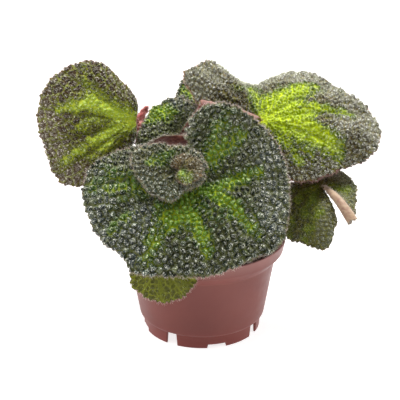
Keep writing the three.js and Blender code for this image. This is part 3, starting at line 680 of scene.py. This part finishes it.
def undersideMaterial(name, first, second, vein):
    # two mottled browns, with paler veins and a paler ground between the pillows
    material, tree, shader = newMaterial(name, 0.55, Sheen_Weight=0.3, Sheen_Roughness=0.5)
    mottle = ramp(tree, noise(tree, 340, 4), 0.3, 0.75)
    colour = blend(tree, mottle, linear(first), linear(second))
    colour = blend(tree, ramp(tree, mark(tree, "pillow"), 0.0, 0.6, 0.4, 0.0), colour, linear(vein))
    colour = blend(tree, mark(tree, "vein"), colour, linear(vein))
    colour = blend(tree, mark(tree, "rim"), colour, linear(vein))
    feed(tree, shader.inputs["Base Color"], colour)
    roughen(tree, shader, noise(tree, 2200, 3), 0.0001)
    return material


def hairMaterial(name, first, second):
    # hairs of two colours, mixed from place to place
    material, tree, shader = newMaterial(name, 0.45, Sheen_Weight=0.2)
    colour = blend(tree, ramp(tree, noise(tree, 700), 0.3, 0.7), linear(first), linear(second))
    feed(tree, shader.inputs["Base Color"], colour)
    return material


leafHair = hairMaterial("leafHair", "#a4a888", "#d8d8be")
fringes = {"pale": hairMaterial("rimHair", "#a67c6e", "#ece2d6"),
           "pink": hairMaterial("pinkRimHair", "#963c48", "#e4bcb4"),
           "brown": hairMaterial("brownRimHair", "#5e4238", "#d2c0ae")}
undersides = {"red": undersideMaterial("leafUnderside", "#54201a", "#74382a", "#96604a"),
              "pale": undersideMaterial("palerUnderside", "#8a6450", "#a68a6c", "#b8a284")}
lookMaterials = {look: leafMaterial("leaf" + look.capitalize(), look) for look in leafLooks}


def outline(rows):
    # the grid's border, one way round: along the first row, the last column, the last row and the first
    index = np.arange((rows + 1) * (2 * rows + 1)).reshape(rows + 1, 2 * rows + 1)
    return np.concatenate([index[0, :-1], index[:-1, -1], index[-1, :0:-1], index[:0:-1, 0]])


def growHairs(name, leaf, blade, rng):
    # hairs stand on the pillows and lean outwards, fewer of them on a bright band or a rolled edge
    upper, normals = blade["upper"], blade["normals"]
    glow, rolled = np.clip(blade["glow"].ravel(), 0, 1), smoothstep(0, 0.3, blade["rolled"].ravel())
    chance = hairy["perArea"] * leaf.get("hairs", 1) * blade["cell"]
    chance = chance * smoothstep(0.3, 0.9, blade["pillow"].ravel()) * (0.5 + blade["silverAndHighlight"].ravel())
    chance *= (1 - 0.8 * rolled) * (1 - 0.4 * glow)
    picked = np.flatnonzero(rng.random(len(upper)) < chance)
    outward = unit(blade["middle"] - np.array(leaf["joint"]))[picked]
    lean = 0.7 * normals[picked] + 0.6 * vertexNormals(upper, blade["quads"])[picked] + 0.8 * outward
    lean = lean + 0.3 * rng.normal(size=(len(picked), 3))
    lengths = hairy["length"] * (0.6 + 0.8 * rng.random(len(picked)))
    points, faces = spikes(upper[picked] - hairy["sunk"] * normals[picked], lean, lengths, hairy["width"])
    makePiece(name + "Hair", points, [faces], [leafHair])


def growFringe(name, leaf, blade, seed, rng):
    # hairs stand along the margin in uneven tufts: where a sum of sines is low they are short and few
    way = np.append(blade["way"], blade["way"][:1])
    ring, facing = blade["middle"][way], blade["normals"][way]
    steps = lengthsAlong(ring)
    every = hairy["rimEvery"]
    spots = np.arange(0, steps[-1], every) + rng.random(int(np.ceil(steps[-1] / every))) * 0.3
    count = len(spots)
    roots = readAt(spots, steps, ring)
    facing = unit(readAt(spots, steps, facing))
    tuft = 0.5 + 0.5 * np.sin(spots * 2.6 + 2.2 * np.sin(spots * 0.41 + seed) + 1.4 * np.sin(spots * 1.13))
    outward = np.cross(unit(np.gradient(roots, axis=0)), facing)
    lean = outward + facing * (1.3 * rng.random((count, 1)) - 0.3) + 0.35 * rng.normal(size=(count, 3))
    lengths = hairy["rimLength"] * (0.35 + 0.5 * rng.random(count) + 0.45 * tuft)
    kept = rng.random(count) < 0.35 + 0.65 * tuft
    roots = roots - hairy["rimSunk"] * outward
    points, faces = spikes(roots[kept], lean[kept], lengths[kept], hairy["rimWidth"])
    makePiece(name + "Fringe", points, [faces], [fringes[leaf.get("fringe", "pale")]])


def fanSpots(leaf):
    # a half square is bent into the fan: share = max(|x|, y), and the way round the half square's rim,
    # weighted by the margin's length, gives the direction
    rows, ribs, span = leaf["rows"], leaf["ribs"], bladeEdge["hemSpan"]
    (firstWidth, _), (lastWidth, _) = leaf.get("hems", noHems)
    x, y = np.meshgrid(np.linspace(-1, 1, 2 * rows + 1), np.linspace(0, 1, rows + 1))
    share = np.maximum(np.abs(x), y)
    full = np.maximum(share, 1e-9)
    around = np.where(x >= y, y / full / 4, np.where(-x >= y, 1 - y / full / 4, 0.5 - x / full / 4))
    around = np.where(share == 0, 0.5, around)
    fan = np.linspace(ribs[0][0] - span * (firstWidth > 0), ribs[-1][0] + span * (lastWidth > 0), 721)
    walked = lengthsAlong(bladePoints(leaf, fan, 1.0))
    along = around * walked[-1]
    return share, along, np.interp(along, walked, fan), walked[-1]


def wayToMargin(leaf, angles, share, reach):
    # the rest of the rib, or the way to an outer rib and over the edge that rolls up beside it if that is
    # less; and how far round a rolled edge each spot lies, from 0 to 1
    ribs, held = leaf["ribs"], inFan(leaf, angles)
    inside = (1 - share) * reach
    rolled = np.zeros(share.shape)
    for side, (width, _), end in zip((-1, 1), leaf.get("hems", noHems), (ribs[0][0], ribs[-1][0])):
        turned = np.radians(np.abs(held - end))
        sinus = np.where(turned < np.pi / 2, share * reach * np.sin(turned), share * reach)
        over = np.clip(side * (angles - end) / bladeEdge["hemSpan"], 0, 1)
        inside = np.minimum(inside, sinus + width * np.sqrt(share) * (1 - over))
        rolled = np.maximum(rolled, over)
    return inside, rolled


def makeLeaf(name, leaf, seed):
    # the blade's spots in the fan, with uneven teeth along the margin
    rows, ribs = leaf["rows"], leaf["ribs"]
    share, along, angles, marginLength = fanSpots(leaf)
    place = flatPlace(leaf, angles, share)
    held = inFan(leaf, angles)
    reach = ribToward(ribs, held)[..., 0]
    inside, rolled = wayToMargin(leaf, angles, share, reach)
    wave = sum(size * np.sin(along * 2 * np.pi / every + 1.7 * np.sin(along / (2.3 * every)) + seed * every)
               for every, size in bladeEdge["waves"])
    middle = bladePoints(leaf, angles, share, 1 + wave * share**5 / reach)

    # the blade arches between its main veins: height x sin(pi x way from one vein to the next)
    stops = np.array([ribs[0][0], *leaf["veins"], ribs[-1][0]], float)
    gap = np.clip(np.searchsorted(stops, held) - 1, 0, len(stops) - 2)
    between = np.sin(np.pi * (held - stops[gap]) / np.maximum(stops[gap + 1] - stops[gap], 1))
    arch = bladeEdge["arch"] * np.clip(between, 0, 1) * smoothstep(0.05, 0.5, share) * (reach / 70)
    middle = (middle + arch[..., None] * bladeAxes(leaf["turn"])[2]).reshape(-1, 3)
    quads = gridFaces(rows + 1, 2 * rows + 1)
    normals = vertexNormals(middle, quads)

    # veins are furrows above and ribs below, and pillows stand between them
    vein = np.zeros(share.shape)
    for first, second, size in veinLines(leaf):
        apart = nearLine(place, first, second) / (0.35 + 0.55 * size)
        vein = np.maximum(vein, size * np.exp(-apart ** 2))
    away = np.maximum(np.linalg.norm(place, axis=-1), 0.5)
    turn = np.radians(held) + np.sign(angles - held) * np.arccos(np.clip(share * reach / away, -1, 1))
    away = np.maximum(away + 0.5 * np.sin(place[..., 1] * 0.9 + seed) + 1.6 * np.sin(turn * 5 + seed), 0)
    turn = turn + 0.012 * np.sin(place[..., 0] * 0.8 + 2 * seed)
    pillow, _, label, crestHighlight = quilting(turn, away, leaf["grain"], seed)
    pillow = pillow * (1 - 0.6 * vein) * smoothstep(-0.6, 1.2, inside)
    net = np.maximum(quilting(turn, away, 2.0 * leaf["grain"], seed + 5)[1], 0.8 * vein)
    lift = leaf["relief"] * pillow * (0.55 + 0.9 * label) * (1 - 0.7 * smoothstep(0, 0.3, rolled))

    # what the materials read at each spot; a leaf without bands of its own glows along its main veins
    glow = bands(leaf, place, leaf.get("glow") or [(a, 0.02, a, 0.62, 5, 0.75) for a in leaf["veins"]])
    # silvery zones, rising towards the margin: more hairs, slate pillows and more painted highlights there
    silverAndHighlight = 0.15 + 0.5 * smoothstep(0.3, 0.95, share) + bands(leaf, place, leaf.get("silverAndHighlight", []))
    silverAndHighlight = np.clip(silverAndHighlight, 0, 1)
    fields = {"pillow": pillow, "crestHighlight": crestHighlight, "own": label, "glow": glow, "silverAndHighlight": silverAndHighlight,
              "vein": vein, "net": net, "rim": np.exp(-(inside / 0.9) ** 2) * 0.5}

    # upper and lower face, the lower one half as fine, and a wall round the border
    half = bladeEdge["outer"] + (bladeEdge["inner"] - bladeEdge["outer"]) * smoothstep(0, 4, inside)
    thick, lifted = half.ravel()[:, None], lift.ravel()[:, None]
    upper = middle + normals * (thick + lifted)
    coarse = np.arange(len(middle)).reshape(rows + 1, 2 * rows + 1)[::2, ::2].ravel()
    lowered = (0.75 * vein * (1 - 0.6 * share)).ravel()[:, None]
    lower = (middle + normals * (0.45 * lifted - thick - lowered))[coarse]
    count = len(upper)
    lowQuads = gridFaces(rows // 2 + 1, rows + 1)[:, ::-1] + count
    up, down = outline(rows), outline(rows // 2) + count
    a, b, c = up[0::2], up[1::2], np.roll(up[0::2], -1)
    d, e = down, np.roll(down, -1)
    wall = np.concatenate([np.stack(corners, -1) for corners in ((b, a, d), (c, b, e), (b, d, e))])
    marks = {key: np.concatenate([field.ravel(), field.ravel()[coarse]]) for key, field in fields.items()}
    finish = np.concatenate([np.zeros(len(quads)), np.ones(len(lowQuads)), np.zeros(len(wall))])
    stands = ["leaf_" + leaf["node"]] if "node" in leaf else ()
    skins = [lookMaterials[leaf["look"]], undersides[leaf.get("under", "red")]]
    makePiece(name + "Leaf", np.concatenate([upper, lower]), [quads, lowQuads, wall], skins, stands,
              finish, marks)

    blade = {"upper": upper, "middle": middle, "normals": normals, "quads": quads, "way": up,
             "pillow": pillow, "glow": glow, "silverAndHighlight": silverAndHighlight, "rolled": rolled,
             "cell": marginLength * np.mean(reach) / 2 / count}
    rng = np.random.default_rng(seed)
    growHairs(name, leaf, blade, rng)
    growFringe(name, leaf, blade, seed, rng)


for number, (name, leaf) in enumerate({**leaves, "youngLobe": youngLobe}.items()):
    makeLeaf(name, leaf, 11 + number)
print("leaves ready")


# Stalks, creeping stem and bud
stalk = {
    "radii": (2.4, 1.9, 1.7), "approach": 9.6, "gap": 0.8, "soilDepth": 56, "sides": 18, "rings": 46,
    "flutes": 0.05, "cuff": 0.22, "cuffShare": 0.035, "skin": ("#7d3a30", "#a85a48", 160),
    "hair": ("#c48878", "#e0b8a8"), "hairs": 1.3, "hairLength": 1.9, "hairWidth": 0.08, "hairFrom": 0.08,
    "hairLean": 0.5,
}
creepingStem = {
    "way": [(-8, 4, 59), (-2, 2, 66), (4, -1, 67), (9, -5, 64)], "radii": (3.5, 4.6, 4.2, 3),
    "sides": 28, "rings": 40, "skin": ("#6a4630", "#8f6a48", 260),
}
bud = {
    "way": [(-18, 15, 56), (-28, 22, 96), (-41, 31, 130), (-45.5, 34, 146), (-40, 34, 157.5)],
    "radii": (2, 1.7, 1.6, 1.5, 1.6, 2.4, 5.0, 4.8, 1.2), "sides": 26, "rings": 110,
    "folds": 0.4, "ruffles": 0.3, "skin": ("#b04a46", "#dc8c84", 300), "hair": ("#c87068", "#f0ccc4"),
    "hairs": 3.2, "hairLength": 1.6, "hairWidth": 0.08, "hairFrom": 0.12, "hairLean": 0.9,
}


def smoothPath(points, steps):
    # a cubic through each pair of points, whose tangents weigh their neighbours by the square root of
    # their distance, read off at equal lengths
    p = np.array(points, float)
    p = np.concatenate([[2 * p[0] - p[1]], p, [2 * p[-1] - p[-2]]])
    fine = []
    for i in range(1, len(p) - 2):
        p0, p1, p2, p3 = p[i - 1:i + 3]
        pairs = ((p1, p0), (p2, p1), (p3, p2))
        d0, d1, d2 = (max(np.sqrt(np.linalg.norm(q - r)), 1e-4) for q, r in pairs)
        t1 = ((p1 - p0) / d0 - (p2 - p0) / (d0 + d1) + (p2 - p1) / d1) * d1
        t2 = ((p2 - p1) / d1 - (p3 - p1) / (d1 + d2) + (p3 - p2) / d2) * d1
        t = np.linspace(0, 1, 60)[:, None]
        fine.append(p1 + t1 * t + (3 * (p2 - p1) - 2 * t1 - t2) * t**2 + (2 * (p1 - p2) + t1 + t2) * t**3)
    line = np.concatenate(fine)
    walked = lengthsAlong(line)
    return readAt(np.linspace(0, walked[-1], steps), walked, line), walked[-1]


def pathFrames(centres):
    # two directions across the path, carried along it without twist
    along = unit(np.gradient(centres, axis=0))
    across = np.zeros_like(along)
    across[0] = unit(np.cross(along[0], [0.3, 1, 0.1]))
    for i in range(1, len(along)):
        carried = across[i - 1] - (across[i - 1] @ along[i]) * along[i]
        across[i] = carried / np.linalg.norm(carried)
    return along, across, np.cross(along, across)


def limb(points, numbers, swell):
    # rings of radius r(t) (1 + swell(angle, t)) round a smooth path, closed by a point at each end
    radii, sides, rings = numbers["radii"], numbers["sides"], numbers["rings"]
    centres, length = smoothPath(points, rings)
    along, across, other = pathFrames(centres)
    t = np.linspace(0, 1, rings)
    radius = np.interp(t * (len(radii) - 1), np.arange(len(radii)), radii)
    turn = np.arange(sides) * 2 * np.pi / sides
    size = radius[:, None] * (1 + swell(turn[None], t[:, None]))
    out = np.cos(turn)[None, :, None] * across[:, None] + np.sin(turn)[None, :, None] * other[:, None]
    ring = centres[:, None] + size[..., None] * out
    body, faces = closedRings(ring, centres[0], centres[-1])
    shape = {"ring": ring, "out": out, "along": along, "length": length, "radius": radius, "t": t}
    return body, faces, shape


def limbHairs(shape, numbers, rng):
    # hairs spread evenly over a limb, leaning towards its end
    ring, out, last = shape["ring"], shape["out"], len(shape["t"]) - 1
    bare = numbers["hairFrom"]
    area = 2 * np.pi * shape["radius"].mean() * shape["length"] * (1 - bare)
    count = int(numbers["hairs"] * area)
    t = bare + (1 - bare) * rng.random(count)
    i = np.minimum((t * last).astype(int), last - 1)
    j = rng.integers(0, ring.shape[1], count)
    beside = (j + 1) % ring.shape[1]
    mixed = (t * last - i)[:, None]
    near = (1 - mixed) * ring[i, j] + mixed * ring[i + 1, j]
    far = (1 - mixed) * ring[i, beside] + mixed * ring[i + 1, beside]
    side = rng.random((count, 1))
    outward = unit((1 - side) * out[i, j] + side * out[i, beside])
    roots = (1 - side) * near + side * far - hairy["sunk"] * outward
    lean = outward + numbers["hairLean"] * shape["along"][i] + 0.4 * rng.normal(size=(count, 3))
    lengths = numbers["hairLength"] * (0.5 + 0.8 * rng.random(count))
    return spikes(roots, lean, lengths, numbers["hairWidth"])


def stalkSwell(phase):
    # five faint flutes, and where the blade joins a cuff x exp(-(way from the end / its share) squared)
    return lambda turn, t: (stalk["flutes"] * np.cos(5 * turn + phase)
                            + stalk["cuff"] * np.exp(-((1 - t) / stalk["cuffShare"]) ** 2))


def stemSwell(turn, t):
    # uneven rings along the creeping stem, where old leaves stood, and three flutes that wind round it
    return 0.08 * np.sin(26 * t + 0.6 * np.sin(turn)) + 0.05 * np.sin(3 * turn + 9 * t)


def budSwell(turn, t):
    # the bud is a leaf still folded along its ribs: two folds wind up it, and ruffles run across them
    folds = bud["folds"] * np.sin(2 * turn + 5 * t)
    ruffles = bud["ruffles"] * np.sin(90 * t + 3 * np.sin(2 * turn))
    return smoothstep(0.72, 0.8, t) * (folds + ruffles)


def stemMaterial(name, first, second, scale):
    # soft skin of two colours in patches; a higher scale makes them smaller
    material, tree, shader = newMaterial(name, 0.5, Sheen_Weight=0.5, Sheen_Roughness=0.4)
    colour = blend(tree, ramp(tree, noise(tree, scale, 4), 0.3, 0.7), linear(first), linear(second))
    feed(tree, shader.inputs["Base Color"], colour)
    roughen(tree, shader, noise(tree, 1500, 3), 0.00015)
    return material


stalkSkin = stemMaterial("stalkSkin", *stalk["skin"])
stalkHair = hairMaterial("stalkHair", *stalk["hair"])
stemSkin = stemMaterial("creepingStemSkin", *creepingStem["skin"])
budSkin = stemMaterial("budSkin", *bud["skin"])
budHair = hairMaterial("budHair", *bud["hair"])

rng = np.random.default_rng(5)
for name, leaf in leaves.items():
    out = bladeAxes(leaf["turn"])[2]
    joint = np.array(leaf["joint"], float)
    beneath = joint - leaf.get("approach", stalk["approach"]) * out
    end = joint - stalk["gap"] * out
    points = [(*leaf["root"], stalk["soilDepth"]), *leaf["way"], tuple(beneath), tuple(end)]
    body, faces, shape = limb(points, stalk, stalkSwell(rng.random() * 6))
    makePiece(name + "Stalk", body, faces, [stalkSkin], ["stalk_" + leaf["node"]])
    points, faces = limbHairs(shape, stalk, rng)
    makePiece(name + "StalkHair", points, [faces], [stalkHair])

body, faces, _ = limb(creepingStem["way"], creepingStem, stemSwell)
makePiece("creepingStem", body, faces, [stemSkin], ["rhizome"])
body, faces, shape = limb(bud["way"], bud, budSwell)
makePiece("budLeaf", body, faces, [budSkin], ["sprout"])
points, faces = limbHairs(shape, bud, rng)
makePiece("budHair", points, [faces], [budHair])
print("stalks, stem and bud ready")


# Pot
pot = {"height": 71, "rimRadius": 61.2, "rimBottom": 62, "rimBottomRadius": 59.4, "shoulder": 55.5,
       "shoulderRadius": 53.6, "base": 11.4, "baseRadius": 46.2, "baseEdge": 0.7, "footRadius": 43.6,
       "footBottomRadius": 43, "footHeight": 9.8, "wall": 1.5, "floor": 1.8, "sides": 144,
       "notchWidth": 8.5, "notchFirst": -30.5, "reliefWidth": 14, "reliefHeight": 3, "reliefFirst": 14.5,
       "cornerRound": 0.8, "plastic": ("#6a352f", "#713a33"), "footPlastic": "#7c322a",
       # the last colour is the rim's painted light, as if shining through the thin plastic
       "rimPaintedLight": "#a8807a"}


def rounded(profile, radius, steps=4):
    # each corner of the profile becomes a short curve, (1 - t) squared x a + 2 t (1 - t) x corner +
    # t squared x b, from a on one side of it to b on the other
    p = np.array(profile, float)
    out = [p[:1]]
    for before, corner, after in zip(p[:-2], p[1:-1], p[2:]):
        reach = min(radius, 0.45 * np.linalg.norm(before - corner), 0.45 * np.linalg.norm(after - corner))
        a = corner + (before - corner) / np.linalg.norm(before - corner) * reach
        b = corner + (after - corner) / np.linalg.norm(after - corner) * reach
        t = np.linspace(0, 1, steps)[:, None]
        out.append((1 - t) ** 2 * a + 2 * t * (1 - t) * corner + t**2 * b)
    out.append(p[-1:])
    return np.concatenate(out)


def footLift(turn):
    # how far the foot ring's lower edge is cut up at a direction: two sets of four openings, whose corners
    # are eased by a smooth step
    lift = np.zeros_like(turn)
    for first, width, height in ((pot["notchFirst"], pot["notchWidth"], pot["footHeight"]),
                                 (pot["reliefFirst"], pot["reliefWidth"], pot["reliefHeight"])):
        centre = np.radians(-90 + first)
        away = np.abs((turn - centre + np.pi / 4) % (np.pi / 2) - np.pi / 4) * pot["footRadius"]
        lift = np.maximum(lift, height * (1 - smoothstep(width / 2 - 0.3, width / 2 + 0.3, away)))
    return lift


def turnedPoints(profile, turn):
    # (radius x cos, radius x sin, height) for each point of the profile and each direction
    return np.stack([profile[:, 0, None] * np.cos(turn), profile[:, 0, None] * np.sin(turn),
                     np.repeat(profile[:, 1, None], len(turn), 1)], -1)


def makePot():
    # a rounded profile turned round the axis; the foot ring's points are lifted where it is cut
    floorTop = pot["base"] + pot["floor"]
    inFoot = pot["footBottomRadius"] - pot["wall"]
    profile = [(0, pot["base"]), (20, pot["base"]), (34, pot["base"]), (inFoot, pot["base"]), (inFoot, 0),
               (pot["footBottomRadius"], 0), (pot["footRadius"], pot["footHeight"]),
               (pot["baseRadius"] - pot["baseEdge"], pot["base"] - pot["baseEdge"]),
               (pot["baseRadius"], pot["base"] + pot["baseEdge"]),
               (pot["shoulderRadius"], pot["shoulder"]), (pot["rimBottomRadius"], pot["rimBottom"]),
               (pot["rimRadius"], pot["height"]), (pot["rimRadius"] - pot["wall"], pot["height"]),
               (pot["rimBottomRadius"] - pot["wall"], pot["rimBottom"]),
               (pot["shoulderRadius"] - pot["wall"], pot["shoulder"]),
               (pot["baseRadius"] - pot["wall"], floorTop), (0, floorTop)]
    profile = rounded(profile, pot["cornerRound"])
    fine = [profile[:1]]
    for a, b in zip(profile[:-1], profile[1:]):
        parts = max(1, int(np.linalg.norm(b - a) / 3))
        fine.append(a + (b - a) * (np.arange(1, parts + 1) / parts)[:, None])
    profile = np.concatenate(fine)[1:-1]
    turn = np.arange(pot["sides"]) * 2 * np.pi / pot["sides"]
    cuts = ((pot["notchFirst"], pot["notchWidth"]), (pot["reliefFirst"], pot["reliefWidth"]))
    edges = [np.radians(-90 + first + 90 * quarter) + (side * width / 2 + aside) / pot["footRadius"]
             for first, width in cuts for quarter in range(4)
             for side in (-1, 1) for aside in (-0.35, 0, 0.35)]
    turn = np.unique(np.round(np.concatenate([turn, np.array(edges) % (2 * np.pi)]), 6))
    points = turnedPoints(profile, turn)
    radius, height = profile[:, 0], profile[:, 1]
    foot = (height < pot["footHeight"]) & (radius > inFoot - 0.1) & (radius < pot["footRadius"] + 0.1)
    lift = footLift(turn)
    points[foot, :, 2] = np.maximum(points[foot, :, 2], np.minimum(lift, pot["footHeight"])[None])
    return closedRings(points, [0, 0, pot["base"]], [0, 0, floorTop])


def potMaterial():
    # satin brownish-pink plastic, cloudy and finely grained, redder at the foot, and paler at the rim, where
    # light shining through the thin plastic is painted in
    material, tree, shader = newMaterial("potPlastic", 0.42, Specular_IOR_Level=0.28)
    cloud = ramp(tree, noise(tree, 28, 3), 0.3, 0.7)
    colour = blend(tree, cloud, *map(linear, pot["plastic"]))
    split = tree.nodes.new("ShaderNodeSeparateXYZ")
    tree.links.new(objectPlace(tree), split.inputs[0])
    height = split.outputs["Z"]
    colour = blend(tree, ramp(tree, height, 0.0, 0.02, 0.6, 0.0), colour, linear(pot["footPlastic"]))
    # paler towards the rim: painted light, as if shining through the thin plastic there
    colour = blend(tree, ramp(tree, height, 0.06, 0.071, 0.0, 0.3), colour, linear(pot["rimPaintedLight"]))
    feed(tree, shader.inputs["Base Color"], colour)
    feed(tree, shader.inputs["Roughness"], ramp(tree, noise(tree, 120, 3), 0.2, 0.8, 0.38, 0.5))
    roughen(tree, shader, noise(tree, 900, 3), 0.00003)
    return material


body, faces = makePot()
makePiece("potShell", body, faces, [potMaterial()], ["pot"])
print("pot ready")


# Compost
soil = {"depth": 9, "rise": 2.5, "unevenness": 1.0, "gap": 0.35, "rings": 62, "sides": 132,
        "peat": ("#2a1d14", "#46342a", "#5c4838"), "crumbs": 850, "crumbSizes": (0.5, 1.3),
        "crumbPeat": ("#33241a", "#544032", "#75604c")}


def soilMaterial(name, first, second, third):
    # two browns in patches, with grains of a paler third one
    material, tree, shader = newMaterial(name, 0.95)
    colour = blend(tree, ramp(tree, noise(tree, 300, 5), 0.35, 0.65), linear(first), linear(second))
    colour = blend(tree, ramp(tree, noise(tree, 900, 2), 0.62, 0.72), colour, linear(third))
    feed(tree, shader.inputs["Base Color"], colour)
    roughen(tree, shader, noise(tree, 800, 5), 0.0008)
    return material


def innerRadius(z):
    # straight between the wall's corners, less the wall's thickness
    heights = [pot["base"] + pot["floor"], pot["shoulder"], pot["rimBottom"], pot["height"]]
    radii = [pot["baseRadius"], pot["shoulderRadius"], pot["rimBottomRadius"], pot["rimRadius"]]
    return np.interp(z, heights, radii) - pot["wall"]


def lumps(x, y, seed):
    # the sum of sine waves in three directions for each of eight lengths, each length to the power 0.55 high
    chance = np.random.default_rng(seed)
    height = np.zeros_like(x)
    for length in (17, 11, 7.3, 4.9, 3.4, 2.6, 2.1, 1.7):
        for _ in range(3):
            direction, phase = chance.random(2) * 2 * np.pi
            onward = x * np.cos(direction) + y * np.sin(direction)
            height += length**0.55 * np.sin(onward * 2 * np.pi / length + phase)
    return height / 8


def soilHeight(x, y):
    # the depth below the rim, the rise x (1 - share of the radius squared), and lumps that end at the wall
    share = np.hypot(x, y) / innerRadius(pot["height"] - soil["depth"])
    uneven = soil["unevenness"] * lumps(x, y, 3) * np.clip(10 * (1 - share), 0, 1)
    return pot["height"] - soil["depth"] + soil["rise"] * np.clip(1 - share**2, 0, 1) + uneven


def makeSoil():
    # a disc of rings whose height is the rise plus the uneven ground, on a plug that fills the pot
    turn = np.arange(soil["sides"]) * 2 * np.pi / soil["sides"]
    floor = pot["base"] + pot["floor"] + soil["gap"]
    surface = pot["height"] - soil["depth"]
    side = np.array([(innerRadius(z) - soil["gap"], z) for z in (floor, pot["shoulder"], surface - 2.5)])
    shares = np.linspace(1, 0.015, soil["rings"])[:, None]
    radius = (innerRadius(surface) - soil["gap"]) * shares
    x, y = radius * np.cos(turn), radius * np.sin(turn)
    points = np.concatenate([turnedPoints(side, turn), np.stack([x, y, soilHeight(x, y)], -1)])
    return closedRings(points, [0, 0, floor], [0, 0, float(soilHeight(np.zeros(1), np.zeros(1))[0])])


def makeCrumbs():
    # small uneven balls, three rings of six points and two poles, scattered on the compost: the radius is
    # the least + the range x (a number from 0 to 1) cubed, so that most are small
    chance = np.random.default_rng(9)
    count = soil["crumbs"]
    least, further = soil["crumbSizes"]
    radius = least + further * chance.random(count) ** 3
    away = (innerRadius(pot["height"] - soil["depth"]) - 1 - 1.9 * radius) * np.sqrt(chance.random(count))
    turn = chance.random(count) * 2 * np.pi
    x, y = away * np.cos(turn), away * np.sin(turn)
    centre = np.stack([x, y, soilHeight(x, y) + 0.25 * radius], -1)
    polar = np.linspace(0, np.pi, 5)[1:-1]
    around = np.arange(6) * np.pi / 3
    ball = np.stack([np.sin(polar)[:, None] * np.cos(around), np.sin(polar)[:, None] * np.sin(around),
                     np.repeat(np.cos(polar)[:, None], 6, 1)], -1).reshape(-1, 3)
    ball = np.concatenate([ball, [[0, 0, 1], [0, 0, -1]]])
    size = radius[:, None, None] * (0.65 + 0.7 * chance.random((count, len(ball), 1)))
    stretch = 0.6 + 0.8 * chance.random((count, 1, 3))
    points = centre[:, None] + ball[None] * size * stretch
    index = np.arange(18).reshape(3, 6)
    nextOne = np.roll(index, -1, 1)
    quads = np.stack([index[:-1], index[1:], nextOne[1:], nextOne[:-1]], -1).reshape(-1, 4)
    caps = np.concatenate([np.stack([index[0], nextOne[0], np.full(6, 18)], -1),
                           np.stack([nextOne[-1], index[-1], np.full(6, 19)], -1)])
    shift = 20 * np.arange(count)[:, None, None]
    faces = [(quads[None] + shift).reshape(-1, 4), (caps[None] + shift).reshape(-1, 3)]
    return points.reshape(-1, 3), faces


peat = soilMaterial("peat", *soil["peat"])
body, faces = makeSoil()
makePiece("compost", body, faces, [peat], ["soil"])
crumbPeat = soilMaterial("peatCrumbs", *soil["crumbPeat"])
body, faces = makeCrumbs()
makePiece("compostCrumbs", body, faces, [crumbPeat], smooth=False)
print("compost ready")


# Floor and light
studio = {"floor": 16.0, "floorColours": ("#c6c6c6", "#cecece"), "floorGlow": 0.8, "sky": 0.18,
          "aim": (0, 0, 0.1)}
lights = {  # places and sizes in metres, power in watts
    "keyLight": {"place": (-0.8, -0.6, 1.3), "size": (0.6, 0.6), "power": 4.5, "colour": (1, 0.985, 0.95)},
    "topLight": {"place": (0.15, 0.3, 1.4), "size": (0.6, 0.6), "power": 31.0},
    "leftLight": {"place": (-1.3, 0.1, 0.45), "size": (0.5, 1.1), "power": 11.5},
    "rightLight": {"place": (1.3, 0.2, 0.45), "size": (0.5, 1.1), "power": 11.5},
}


def areaLight(name, place, size, power, colour=(1, 1, 1)):
    # a rectangle of light that faces the aim
    light = bpy.data.lights.new(name, "AREA")
    light.shape = "RECTANGLE"
    light.size, light.size_y = size
    light.energy = power
    light.color = colour
    lamp = bpy.data.objects.new(name, light)
    lamp.location = place
    toAim = Vector(studio["aim"]) - Vector(place)
    lamp.rotation_euler = toAim.to_track_quat("-Z", "Y").to_euler()
    bpy.context.scene.collection.objects.link(lamp)


half = studio["floor"] / 2
corners = [(-half, -half, 0), (half, -half, 0), (half, half, 0), (-half, half, 0)]
floorMesh = bpy.data.meshes.new("studioFloor")
floorMesh.from_pydata(corners, [], [(0, 1, 2, 3)])
floorMaterial, tree, shader = newMaterial("studioFloor", 0.9, Specular_IOR_Level=0.2)
colour = blend(tree, ramp(tree, noise(tree, 3), 0.3, 0.7), *map(linear, studio["floorColours"]))
feed(tree, shader.inputs["Base Color"], colour)
shader.inputs["Emission Color"].default_value = (1, 1, 1, 1)
shader.inputs["Emission Strength"].default_value = studio["floorGlow"]
floorMesh.materials.append(floorMaterial)
floorObject = bpy.data.objects.new("studioFloor", floorMesh)
bpy.context.scene.collection.objects.link(floorObject)

for name, light in lights.items():
    areaLight(name, **light)
world = bpy.data.worlds.new("studio")
world.use_nodes = True
world.node_tree.nodes["Background"].inputs["Color"].default_value = (1, 1, 1, 1)
world.node_tree.nodes["Background"].inputs["Strength"].default_value = studio["sky"]
bpy.context.scene.world = world
bpy.context.scene.view_settings.view_transform = "Standard"
print("studio ready")
